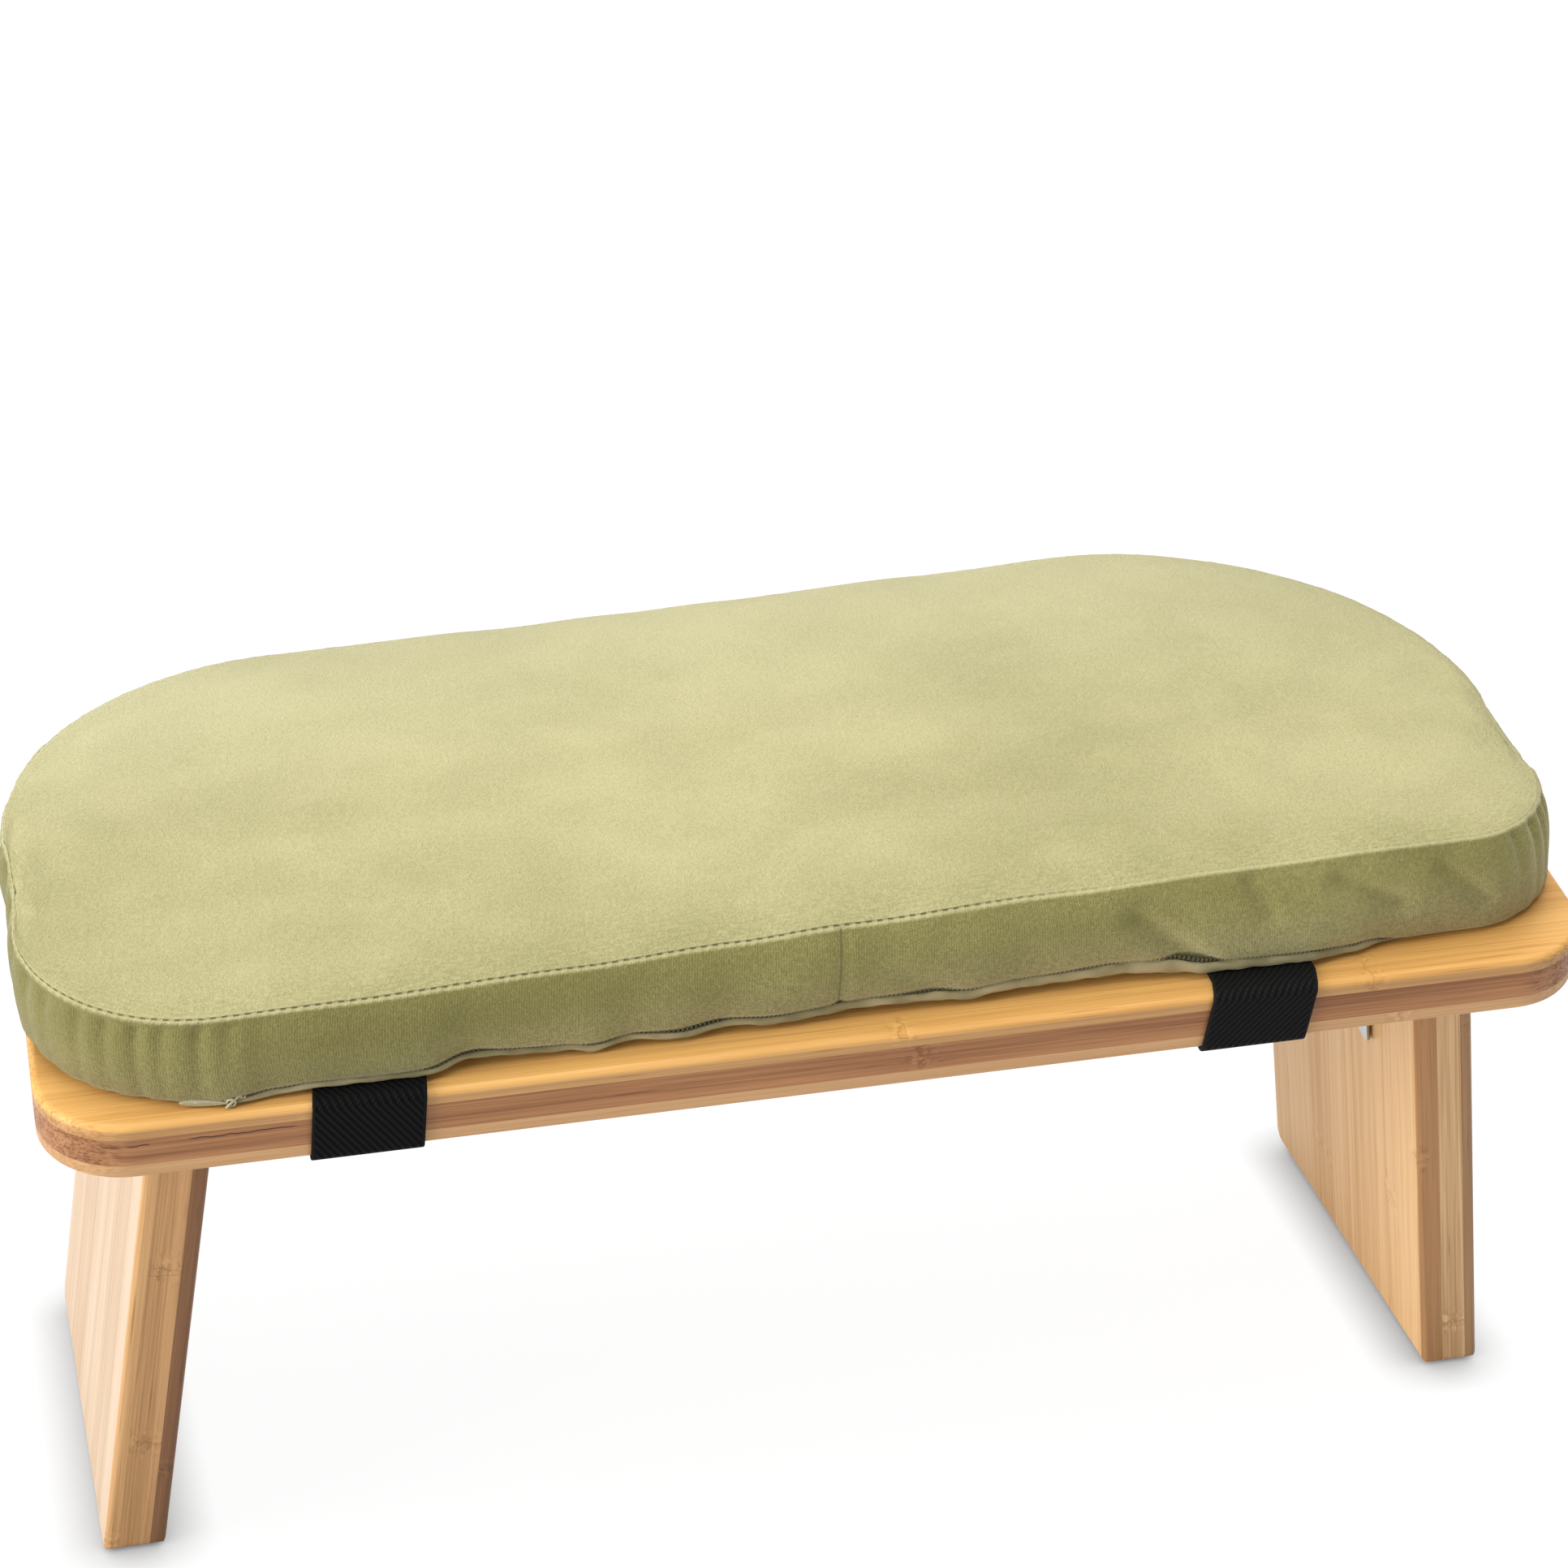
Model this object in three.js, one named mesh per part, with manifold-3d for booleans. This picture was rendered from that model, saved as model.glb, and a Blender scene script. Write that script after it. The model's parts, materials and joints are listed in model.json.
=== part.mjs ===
// Folding meditation bench: a tilted bamboo seat on two splayed plate legs that fold inward on
// steel clevis brackets, with a zipped velvet box cushion held on by two elastic straps.
// Millimetres, +Z up. X runs along the seat, the low front edge of the seat faces -Y.
import * as THREE from 'three';
import { mergeVertices } from 'three/addons/utils/BufferGeometryUtils.js';
import Module from 'manifold-3d';

const wasm = await Module();
wasm.setup();

const { degToRad, lerp } = THREE.MathUtils;

// Fits shared by all pieces
const fitGap = 0.3;
const glueLine = 0.2;
const cutOverrun = 5;

// Seat board, three plies of bamboo glued flat
const seatLength = 460;
const seatDepth = 194;
const seatThickness = 18;
const seatFrontCornerRadius = 26;
const seatBackCornerRadius = 92;
const seatEdgeRadius = 2.2;
const seatTilt = degToRad(9.5);
const seatPlyShares = [0.25, 0.5, 0.25];

// Legs, three plies glued upright, with the foot cut level with the floor
const legThickness = 19;
const legDepth = 148;
const legSetback = 23;
const legInset = 31;
const legSplay = degToRad(8.5);
const legFrontDrop = 165;
const legEdgeRadius = 2.5;
const footFrontRadius = 4;
const footBackRadius = 12;
const legPlyShares = [0.34, 0.33, 0.33];

// Folding brackets, pressed from sheet: a seat clevis, a leg clevis and a riveted pin
const sheetThickness = 2;
const bendRadius = 1.5;
const pivotDrop = 19;
const pivotOffset = 6.5;
const legPlateWidth = 74;
const legPlateTop = 8;
const legPlateReach = 58;
const legEarRadius = 7;
const legEarTaper = 22;
const seatPlateLength = 20;
const seatEarShoulder = 4;
const earClearance = 0.5;
const earSideGap = 0.8;
const plateCornerRadius = 3;
const pinRadius = 3;
const pinHeadRadius = 5;
const pinHeadHeight = 1.8;
const runningClearance = 0.06;

// Countersunk wood screws
const screwHeadRadius = 4;
const screwHeadHeight = 1.9;
const screwHeadRim = 0.3;
const screwShankRadius = 1.8;
const screwLength = 14;
const screwTipLength = 3;
const screwSink = 0.1;
const seatScrewRowShares = [-0.36, -0.13, 0.13, 0.36];
const legScrewRowShare = 0.34;
const legScrewUpper = 32;
const legScrewLower = 50;

// Cushion, a foam slab in a velvet cover of a top panel, a side band and a base panel
const cushionEndGap = 2.5;
const cushionFrontGap = 8;
const cushionBackGap = 6;
const cushionFrontRadius = 34;
const cushionBackRadius = 95;
const cushionLeftHeight = 28.5;
const cushionRightHeight = 36.5;
const cushionCrown = 3.5;
const crownPower = 4;
const coverThickness = 1.2;
const sideBulge = 1.5;
const sideDrawIn = 1.5;
const endDrawIn = 1.2;
const endDrawPower = 8;
const cushionColumns = 24;
const cushionRows = 8;
const bandBulgeShares = [0, 0.3, 0.7, 1];

// Zip along the foot of the cushion's front band
const zipStartInset = 36.5;
const zipEndInset = 51.5;
const zipTapeHeight = 5.4;
const zipTapeThickness = 0.9;
const zipBeadHeight = 0.7;
const zipBeadWidth = 2.4;
const zipSteps = 14;
const sliderSetback = 15;
const sliderLength = 6.5;
const sliderPlate = 0.8;
const sliderFlange = 0.8;
const sliderEdgeRadius = 0.5;
const bailSpan = 4.4;
const bailHeight = 2.2;
const bailThickness = 0.8;
const bailWidth = 1.6;
const pullLength = 15;
const pullWidth = 3.8;
const pullThickness = 0.8;
const pullBar = 0.9;
const pullEyeLength = 2.7;
const pullEyeWidth = 2.2;
const pullEndRadius = 1.4;

// Elastic straps round the board, sewn to the edges of the cushion's base panel
const strapWidth = 32;
const strapThickness = 1.3;
const leftStrapInset = 90;
const rightStrapInset = 107.5;

// Fineness of the curves
const outlineSegments = 7;
const edgeSegments = 3;
const filletSegments = 3;
const roundSegments = 20;
const screwSegments = 10;

// Places that follow from the sizes above
const legCentre = legSetback + legDepth / 2;
const legInnerAtSeat = seatLength / 2 - legInset - legThickness / Math.cos(legSplay);
const pivotReach = legInnerAtSeat + pivotDrop * Math.tan(legSplay) - pivotOffset / Math.cos(legSplay);
const legBackDrop = legFrontDrop + legDepth * Math.tan(seatTilt);
const seatEarRadius = pivotOffset - earClearance;
const seatChannelWidth = legPlateWidth + 2 * (earSideGap + sheetThickness);
const cushionLength = seatLength - 2 * cushionEndGap;
const cushionDepth = seatDepth - cushionFrontGap - cushionBackGap;
const cushionBase = seatThickness + fitGap;
const bandBase = cushionBase + coverThickness + fitGap;
const zipMiddle = bandBase + zipTapeHeight / 2;
const zipStart = zipStartInset - cushionLength / 2;
const zipEnd = cushionLength / 2 - zipEndInset;
const sliderStart = zipStart + sliderSetback;
const leftStrapPlace = leftStrapInset - seatLength / 2;
const rightStrapPlace = seatLength / 2 - rightStrapInset;

const bambooFace = new THREE.MeshStandardMaterial({ color: 0xd9b27f, roughness: 0.55, metalness: 0 });
const bambooCore = new THREE.MeshStandardMaterial({ color: 0xb98a58, roughness: 0.6, metalness: 0 });
const bambooLeg = new THREE.MeshStandardMaterial({ color: 0xdcb684, roughness: 0.55, metalness: 0 });
const plateSteel = new THREE.MeshStandardMaterial({ color: 0xb9bcbe, roughness: 0.35, metalness: 1 });
const screwSteel = new THREE.MeshStandardMaterial({ color: 0xa9abad, roughness: 0.3, metalness: 1 });
const velvet = new THREE.MeshStandardMaterial({ color: 0xa3a56b, roughness: 0.9, metalness: 0 });
const foam = new THREE.MeshStandardMaterial({ color: 0xe8e2cf, roughness: 0.95, metalness: 0 });
const elastic = new THREE.MeshStandardMaterial({ color: 0x17181a, roughness: 0.8, metalness: 0 });
const zipCloth = new THREE.MeshStandardMaterial({ color: 0x7d7a4e, roughness: 0.85, metalness: 0 });
const zipMetal = new THREE.MeshStandardMaterial({ color: 0x8f8a66, roughness: 0.5, metalness: 0.6 });

// Turns a closed geometry into a solid that can be cut and joined
function solidOf(geometry) {
  const bare = geometry.clone();
  bare.deleteAttribute('normal');
  bare.deleteAttribute('uv');
  const merged = mergeVertices(bare);
  return new wasm.Manifold(new wasm.Mesh({
    numProp: 3,
    vertProperties: Float32Array.from(merged.attributes.position.array),
    triVerts: Uint32Array.from(merged.index.array),
  }));
}

function geometryOf(solid) {
  const mesh = solid.getMesh();
  const geometry = new THREE.BufferGeometry();
  geometry.setAttribute('position', new THREE.BufferAttribute(Float32Array.from(mesh.vertProperties), 3));
  geometry.setIndex(Array.from(mesh.triVerts));
  geometry.computeVertexNormals();
  return geometry;
}

function addPiece(group, name, geometry, material) {
  const piece = new THREE.Mesh(geometry, material);
  piece.name = name;
  group.add(piece);
  return piece;
}

// Outline through corners given as [x, y, fillet radius]
function filletedShape(corners) {
  const shape = new THREE.Shape();
  corners.forEach(([x, y, radius], index) => {
    const corner = new THREE.Vector2(x, y);
    const before = corners.at(index - 1);
    const after = corners[(index + 1) % corners.length];
    const back = new THREE.Vector2(before[0], before[1]).sub(corner).normalize();
    const ahead = new THREE.Vector2(after[0], after[1]).sub(corner).normalize();
    if (!radius) {
      if (index === 0) shape.moveTo(x, y);
      else shape.lineTo(x, y);
      return;
    }
    const halfAngle = Math.acos(back.dot(ahead)) / 2;
    const inward = back.clone().add(ahead).normalize();
    const middle = inward.multiplyScalar(radius / Math.sin(halfAngle)).add(corner);
    const tangent = radius / Math.tan(halfAngle);
    const start = back.multiplyScalar(tangent).add(corner).sub(middle);
    const end = ahead.multiplyScalar(tangent).add(corner).sub(middle);
    const clockwise = start.cross(end) < 0;
    shape.absarc(middle.x, middle.y, radius, start.angle(), end.angle(), clockwise);
  });
  return shape;
}

// Straight prisms of a shape, centred on the plane that the shape is drawn in
function prism(shape, length, segments) {
  const options = { depth: length, bevelEnabled: false, curveSegments: segments };
  return new THREE.ExtrudeGeometry(shape, options).translate(0, 0, -length / 2);
}

// The shape's x and y become Y and Z, and the prism runs along X
function prismAlongX(shape, length, segments = filletSegments) {
  const axes = [[0, 1, 0], [0, 0, 1], [1, 0, 0]].map((axis) => new THREE.Vector3(...axis));
  return prism(shape, length, segments).applyMatrix4(new THREE.Matrix4().makeBasis(...axes));
}

// The shape's x and y become X and Z, and the prism runs along Y
function prismAlongY(shape, length, segments = filletSegments) {
  return prism(shape, length, segments).rotateX(Math.PI / 2);
}

function box(low, high) {
  const size = high.map((value, axis) => value - low[axis]);
  const middle = high.map((value, axis) => (value + low[axis]) / 2);
  return new THREE.BoxGeometry(...size).translate(...middle);
}

// A solid cut into plies across one axis, with a glue line between neighbours
function plies(solid, shares, axis, start, thickness, reach) {
  let edge = start;
  return shares.map((share, index) => {
    const low = [-reach, -reach, -reach];
    const high = [reach, reach, reach];
    low[axis] = index === 0 ? start - cutOverrun : edge + glueLine / 2;
    edge += share * thickness;
    high[axis] = index === shares.length - 1 ? start + thickness + cutOverrun : edge - glueLine / 2;
    return solid.intersect(solidOf(box(low, high)));
  });
}

// Screw with its flat head at z = 0 and its tip pointing along -Z
function screwProfile(clearance, headOverrun) {
  const shank = screwShankRadius + clearance;
  const head = screwHeadRadius + clearance;
  const length = screwLength + clearance;
  return [
    [0, -length],
    [shank, -length + screwTipLength],
    [shank, -screwHeadHeight - clearance],
    [head, -screwHeadRim - clearance],
    [head, headOverrun],
    [0, headOverrun],
  ].map(([x, y]) => new THREE.Vector2(x, y));
}

function screwAt(place, turn, clearance = 0, headOverrun = 0) {
  const profile = screwProfile(clearance, headOverrun);
  const screw = new THREE.LatheGeometry(profile, screwSegments).rotateX(Math.PI / 2);
  return solidOf(screw.rotateY(turn).translate(...place));
}

function cutAll(solid, cutters) {
  return cutters.reduce((rest, cutter) => rest.subtract(cutter), solid);
}

// Round hole along Y whose flats, not its corners, keep the wanted radius
function holeAlongY(radius, length) {
  const cornerRadius = radius / Math.cos(Math.PI / roundSegments);
  return new THREE.CylinderGeometry(cornerRadius, cornerRadius, length, roundSegments);
}

const bench = new THREE.Group();
const seat = new THREE.Group();
seat.rotation.x = seatTilt;
bench.add(seat);

// Seat plate of a bracket: a channel with an ear at each end that carries the pin. It lies under
// the board beside the leg, in a frame whose +X points outward and whose Y starts at mid leg.
const seatPlateOuter = legInnerAtSeat - earClearance;
const seatPlateInner = seatPlateOuter - seatPlateLength;
const seatEarBottom = -pivotDrop - seatEarRadius;

function seatScrewPlaces() {
  const row = (seatPlateInner + seatPlateOuter) / 2;
  const face = -fitGap - sheetThickness + screwSink;
  return seatScrewRowShares.map((share) => [row, share * legPlateWidth, face]);
}

function seatBracket() {
  const half = seatChannelWidth / 2;
  const roof = -fitGap;
  const section = filletedShape([
    [-half, seatEarBottom, 0],
    [-half + sheetThickness, seatEarBottom, 0],
    [-half + sheetThickness, roof - sheetThickness, bendRadius],
    [half - sheetThickness, roof - sheetThickness, bendRadius],
    [half - sheetThickness, seatEarBottom, 0],
    [half, seatEarBottom, 0],
    [half, roof, bendRadius + sheetThickness],
    [-half, roof, bendRadius + sheetThickness],
  ]);
  const channel = prismAlongX(section, seatPlateLength);
  channel.translate((seatPlateInner + seatPlateOuter) / 2, 0, 0);
  const outerFoot = seatPlateOuter - seatEarBottom * Math.tan(legSplay);
  const ears = filletedShape([
    [seatPlateInner, 0, 0],
    [seatPlateInner, roof - seatEarShoulder, plateCornerRadius],
    [pivotReach - seatEarRadius, seatEarBottom, seatEarRadius],
    [outerFoot, seatEarBottom, seatEarRadius * Math.cos(legSplay)],
    [seatPlateOuter, 0, 0],
  ]);
  const outline = prismAlongY(ears, seatChannelWidth + cutOverrun, outlineSegments);
  const pinHole = holeAlongY(pinRadius + runningClearance, seatChannelWidth + cutOverrun);
  pinHole.translate(pivotReach, 0, -pivotDrop);
  const bracket = solidOf(channel).intersect(solidOf(outline)).subtract(solidOf(pinHole));
  return cutAll(bracket, seatScrewPlaces().map((place) => screwAt(place, Math.PI, fitGap, cutOverrun)));
}

// Leg plate of a bracket, in a frame at the pivot with -Z down the leg and +X towards it
const legPlateFace = pivotOffset - fitGap;
const legPlateInner = legPlateFace - sheetThickness;

function legScrewPlaces() {
  const across = legScrewRowShare * legPlateWidth;
  return [legScrewUpper, legScrewLower].flatMap((drop) => [-across, across].map(
    (place) => [legPlateInner + screwSink, place, pivotDrop - drop],
  ));
}

function legBracket() {
  const half = legPlateWidth / 2;
  const top = pivotDrop - legPlateTop;
  const bottom = pivotDrop - legPlateReach;
  const section = filletedShape([
    [legPlateFace, -half, bendRadius + sheetThickness],
    [legPlateFace, half, bendRadius + sheetThickness],
    [-legEarRadius, half, 0],
    [-legEarRadius, half - sheetThickness, 0],
    [legPlateInner, half - sheetThickness, bendRadius],
    [legPlateInner, -half + sheetThickness, bendRadius],
    [-legEarRadius, -half + sheetThickness, 0],
    [-legEarRadius, -half, 0],
  ]);
  const channel = prism(section, top - bottom, filletSegments).translate(0, 0, (top + bottom) / 2);
  const ears = filletedShape([
    [legPlateFace + cutOverrun, bottom, 0],
    [legPlateFace + cutOverrun, top, 0],
    [legPlateInner, top, 0],
    [-legEarRadius, legEarRadius, legEarRadius],
    [-legEarRadius, -legEarRadius, legEarRadius],
    [legPlateInner, -legEarTaper, 0],
    [legPlateInner, bottom, 0],
  ]);
  const outline = prismAlongY(ears, legPlateWidth + cutOverrun, outlineSegments);
  const face = filletedShape([
    [-half, bottom, plateCornerRadius],
    [half, bottom, plateCornerRadius],
    [half, top, plateCornerRadius],
    [-half, top, plateCornerRadius],
  ]);
  const blank = prismAlongX(face, 2 * (pivotOffset + legEarRadius));
  const pinHole = holeAlongY(pinRadius + runningClearance, legPlateWidth + cutOverrun);
  const bracket = solidOf(channel).intersect(solidOf(outline)).intersect(solidOf(blank));
  const holes = legScrewPlaces().map((place) => screwAt(place, -Math.PI / 2, fitGap, cutOverrun));
  return cutAll(bracket, [solidOf(pinHole), ...holes]);
}

// Riveted pin along Y with a domed head beyond each seat ear
function pivotPin() {
  const shoulder = seatChannelWidth / 2 + fitGap;
  const crown = shoulder + pinHeadHeight;
  const rim = shoulder + pinHeadHeight / 2;
  const upper = [
    [pinRadius, shoulder],
    [pinHeadRadius, shoulder],
    [pinHeadRadius, rim],
    [pinHeadRadius / 2, crown],
  ];
  const lower = upper.map(([x, y]) => [x, -y]).reverse();
  const profile = [[0, -crown], ...lower, ...upper, [0, crown]].map(([x, y]) => new THREE.Vector2(x, y));
  return new THREE.LatheGeometry(profile, roundSegments);
}

// Blank of a leg in its own frame, cut to the board above, the floor below and the side outline
function legSolid(legFrame) {
  const half = legDepth / 2;
  const reach = 2 * legBackDrop;
  const section = filletedShape([
    [pivotOffset, -half, legEdgeRadius],
    [pivotOffset + legThickness, -half, legEdgeRadius],
    [pivotOffset + legThickness, half, legEdgeRadius],
    [pivotOffset, half, legEdgeRadius],
  ]);
  const side = filletedShape([
    [legSetback, -legFrontDrop, footFrontRadius],
    [legSetback + legDepth, -legBackDrop, footBackRadius],
    [legSetback + legDepth, -fitGap, 0],
    [legSetback, -fitGap, 0],
  ]);
  seat.updateMatrixWorld(true);
  const toLeg = legFrame.matrixWorld.clone().invert().multiply(seat.matrixWorld);
  const sideCut = prismAlongX(side, 2 * seatLength, outlineSegments).applyMatrix4(toLeg);
  return solidOf(prism(section, reach, edgeSegments)).intersect(solidOf(sideCut));
}

// Legs with their brackets: the left side is the right side turned half round
const seatScrewHoles = [];
const plyNames = ['inner', 'core', 'outer'];
for (const [sideName, turn] of [['right', 0], ['left', Math.PI]]) {
  const sideFrame = new THREE.Group();
  sideFrame.position.y = legCentre;
  sideFrame.rotation.z = turn;
  seat.add(sideFrame);
  const legFrame = new THREE.Group();
  legFrame.position.set(pivotReach, 0, -pivotDrop);
  legFrame.rotation.y = -legSplay;
  sideFrame.add(legFrame);

  const holes = legScrewPlaces().map((place) => screwAt(place, -Math.PI / 2, fitGap, cutOverrun));
  const wood = cutAll(legSolid(legFrame), holes);
  plies(wood, legPlyShares, 0, pivotOffset, legThickness, seatLength).forEach((ply, index) => {
    const tone = index === 1 ? bambooCore : bambooLeg;
    addPiece(legFrame, `${sideName}_leg_${plyNames[index]}_ply`, geometryOf(ply), tone);
  });

  addPiece(sideFrame, `${sideName}_seat_bracket`, geometryOf(seatBracket()), plateSteel);
  addPiece(legFrame, `${sideName}_leg_bracket`, geometryOf(legBracket()), plateSteel);
  const pin = addPiece(sideFrame, `${sideName}_pivot_pin`, pivotPin(), screwSteel);
  pin.position.copy(legFrame.position);

  legScrewPlaces().forEach((place, index) => {
    const screw = screwAt(place, -Math.PI / 2);
    addPiece(legFrame, `${sideName}_leg_screw_${index + 1}`, geometryOf(screw), screwSteel);
  });
  seatScrewPlaces().forEach((place, index) => {
    const screw = screwAt(place, Math.PI);
    addPiece(sideFrame, `${sideName}_seat_screw_${index + 1}`, geometryOf(screw), screwSteel);
    const spot = new THREE.Vector3(...place).applyAxisAngle(new THREE.Vector3(0, 0, 1), turn);
    seatScrewHoles.push(screwAt([spot.x, spot.y + legCentre, spot.z], Math.PI, fitGap, cutOverrun));
  });
}

// Seat board, bored for the bracket screws and cut into its plies
const seatOutline = filletedShape([
  [-seatLength / 2, 0, seatFrontCornerRadius],
  [seatLength / 2, 0, seatFrontCornerRadius],
  [seatLength / 2, seatDepth, seatBackCornerRadius],
  [-seatLength / 2, seatDepth, seatBackCornerRadius],
]);
const boardGeometry = new THREE.ExtrudeGeometry(seatOutline, {
  depth: seatThickness - 2 * seatEdgeRadius,
  bevelEnabled: true,
  bevelThickness: seatEdgeRadius,
  bevelSize: seatEdgeRadius,
  bevelOffset: -seatEdgeRadius,
  bevelSegments: edgeSegments,
  curveSegments: outlineSegments,
});
boardGeometry.translate(0, 0, seatEdgeRadius);
const board = cutAll(solidOf(boardGeometry), seatScrewHoles);
plies(board, seatPlyShares, 2, 0, seatThickness, seatLength).forEach((ply, index) => {
  const name = ['seat_bottom_ply', 'seat_core_ply', 'seat_top_ply'][index];
  addPiece(seat, name, geometryOf(ply), index === 1 ? bambooCore : bambooFace);
});

// Plan of the cushion: u runs -1 to 1 along it, v runs 0 to 1 from front to back, and the whole
// outline shrinks by the inset. Its sides are drawn in between the corners.
function edgeDip(across, halfLength, radius, drawIn) {
  const straight = halfLength - radius;
  const past = Math.max(0, Math.abs(across) - straight);
  const arc = radius - Math.sqrt(Math.max(0, radius * radius - past * past));
  const slack = Math.max(0, 1 - (across / straight) ** 2);
  return arc + drawIn * slack;
}

function frontEdge(across, inset) {
  const halfLength = cushionLength / 2 - inset;
  return cushionFrontGap + inset + edgeDip(across, halfLength, cushionFrontRadius - inset, sideDrawIn);
}

function backEdge(across, inset) {
  const halfLength = cushionLength / 2 - inset;
  const back = cushionFrontGap + cushionDepth - inset;
  return back - edgeDip(across, halfLength, cushionBackRadius - inset, sideDrawIn);
}

function planPoint(u, v, inset, height) {
  const across = (cushionLength / 2 - inset) * Math.sin(u * Math.PI / 2);
  const along = lerp(frontEdge(across, inset), backEdge(across, inset), v);
  const squeeze = endDrawIn * u ** endDrawPower * 4 * v * (1 - v);
  return new THREE.Vector3(across - Math.sign(u) * squeeze, along, height);
}

// The slab lies a little higher at the right end than at the left
function seamLevelAt(u) {
  const rightShare = (1 + Math.sin(u * Math.PI / 2)) / 2;
  return seatThickness + lerp(cushionLeftHeight, cushionRightHeight, rightShare);
}

function crownAt(u, v) {
  const lengthwise = 1 - Math.abs(Math.sin(u * Math.PI / 2)) ** crownPower;
  const crosswise = 1 - Math.abs(2 * v - 1) ** crownPower;
  return cushionCrown * lengthwise * crosswise;
}

function facesToGeometry(points, faces) {
  const geometry = new THREE.BufferGeometry().setFromPoints(points);
  geometry.setIndex(faces.flat());
  geometry.computeVertexNormals();
  return geometry;
}

// Closed sheet between two grids of points, upper and lower, that share their plan directions
function sheetSolid(upper, lower) {
  const width = cushionRows + 1;
  const points = [];
  for (const surface of [upper, lower]) {
    for (let column = 0; column <= cushionColumns; column += 1) {
      for (let row = 0; row <= cushionRows; row += 1) {
        points.push(surface(2 * column / cushionColumns - 1, row / cushionRows));
      }
    }
  }
  const offset = (cushionColumns + 1) * width;
  const faces = [];
  for (let column = 0; column < cushionColumns; column += 1) {
    for (let row = 0; row < cushionRows; row += 1) {
      const a = column * width + row;
      const b = a + width;
      faces.push([a, b, b + 1], [a, b + 1, a + 1]);
      faces.push([offset + a, offset + b + 1, offset + b], [offset + a, offset + a + 1, offset + b + 1]);
    }
  }
  const rim = rimSteps().map(([column, row]) => column * width + row);
  rim.forEach((a, index) => {
    const b = rim[(index + 1) % rim.length];
    faces.push([a, offset + a, offset + b], [a, offset + b, b]);
  });
  return facesToGeometry(points, faces);
}

// Grid places round the rim, counterclockwise seen from above
function rimSteps() {
  const steps = [];
  for (let column = 0; column < cushionColumns; column += 1) steps.push([column, 0]);
  for (let row = 0; row < cushionRows; row += 1) steps.push([cushionColumns, row]);
  for (let column = cushionColumns; column > 0; column -= 1) steps.push([column, cushionRows]);
  for (let row = cushionRows; row > 0; row -= 1) steps.push([0, row]);
  return steps;
}

// Closed wall round the rim, up to the top panel, whose section runs through points given as
// [inset, share of the height]
function wallSolid(section) {
  const rim = rimSteps();
  const points = section.flatMap(([inset, share]) => rim.map(([column, row]) => {
    const u = 2 * column / cushionColumns - 1;
    const height = lerp(bandBase, seamLevelAt(u) - coverThickness - fitGap, share);
    return planPoint(u, row / cushionRows, inset, height);
  }));
  const faces = [];
  section.forEach((_, ring) => {
    const nextRing = (ring + 1) % section.length;
    rim.forEach((__, step) => {
      const nextStep = (step + 1) % rim.length;
      const a = ring * rim.length + step;
      const b = ring * rim.length + nextStep;
      const c = nextRing * rim.length + nextStep;
      const d = nextRing * rim.length + step;
      faces.push([a, b, c], [a, c, d]);
    });
  });
  return facesToGeometry(points, faces);
}

addPiece(seat, 'cushion_top_panel', sheetSolid(
  (u, v) => planPoint(u, v, 0, seamLevelAt(u) + crownAt(u, v)),
  (u, v) => planPoint(u, v, 0, seamLevelAt(u) - coverThickness + crownAt(u, v)),
), velvet);

const baseShapePoints = rimSteps().map(([column, row]) => {
  const place = planPoint(2 * column / cushionColumns - 1, row / cushionRows, 0, 0);
  return new THREE.Vector2(place.x, place.y);
});
const basePanel = prism(new THREE.Shape(baseShapePoints), coverThickness, 1);
basePanel.translate(0, 0, cushionBase + coverThickness / 2);
addPiece(seat, 'cushion_base_panel', basePanel, velvet);

const bulgeAt = (share) => sideBulge * 4 * share * (1 - share);
const outerWall = bandBulgeShares.map((share) => [-bulgeAt(share), share]);
const innerWall = outerWall.map(([inset, share]) => [inset + coverThickness, share]).reverse();
const bandWall = solidOf(wallSolid([...outerWall, ...innerWall]));
const zipWindow = box(
  [zipStart - fitGap, -cutOverrun, bandBase - cutOverrun],
  [zipEnd + fitGap, cushionFrontGap + cushionFrontRadius, bandBase + zipTapeHeight + fitGap],
);
addPiece(seat, 'cushion_side_band', geometryOf(bandWall.subtract(solidOf(zipWindow))), velvet);

const foamInset = coverThickness + fitGap;
addPiece(seat, 'cushion_foam', sheetSolid(
  (u, v) => planPoint(u, v, foamInset, seamLevelAt(u) - foamInset + crownAt(u, v)),
  (u, v) => planPoint(u, v, foamInset, bandBase),
), foam);

// Zip tape along the front, with the closed teeth as a bead down its middle
function zipTape() {
  const low = zipMiddle - zipTapeHeight / 2;
  const high = zipMiddle + zipTapeHeight / 2;
  const beadLow = zipMiddle - zipBeadWidth / 2;
  const beadHigh = zipMiddle + zipBeadWidth / 2;
  const section = [
    [zipTapeThickness, low],
    [zipTapeThickness, high],
    [0, high],
    [0, beadHigh],
    [-zipBeadHeight, beadHigh],
    [-zipBeadHeight, beadLow],
    [0, beadLow],
    [0, low],
  ].map(([depth, height]) => new THREE.Vector2(depth, height));
  const points = [];
  for (let step = 0; step <= zipSteps; step += 1) {
    const across = lerp(zipStart, zipEnd, step / zipSteps);
    const front = frontEdge(across, 0);
    section.forEach(({ x, y }) => points.push(new THREE.Vector3(across, front + x, y)));
  }
  const size = section.length;
  const faces = [];
  for (let step = 0; step < zipSteps; step += 1) {
    for (let side = 0; side < size; side += 1) {
      const a = step * size + side;
      const b = step * size + (side + 1) % size;
      faces.push([a, b + size, a + size], [a, b, b + size]);
    }
  }
  const last = zipSteps * size;
  for (const [a, b, c] of THREE.ShapeUtils.triangulateShape(section, [])) {
    faces.push([c, b, a], [last + a, last + b, last + c]);
  }
  return facesToGeometry(points, faces);
}
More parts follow.
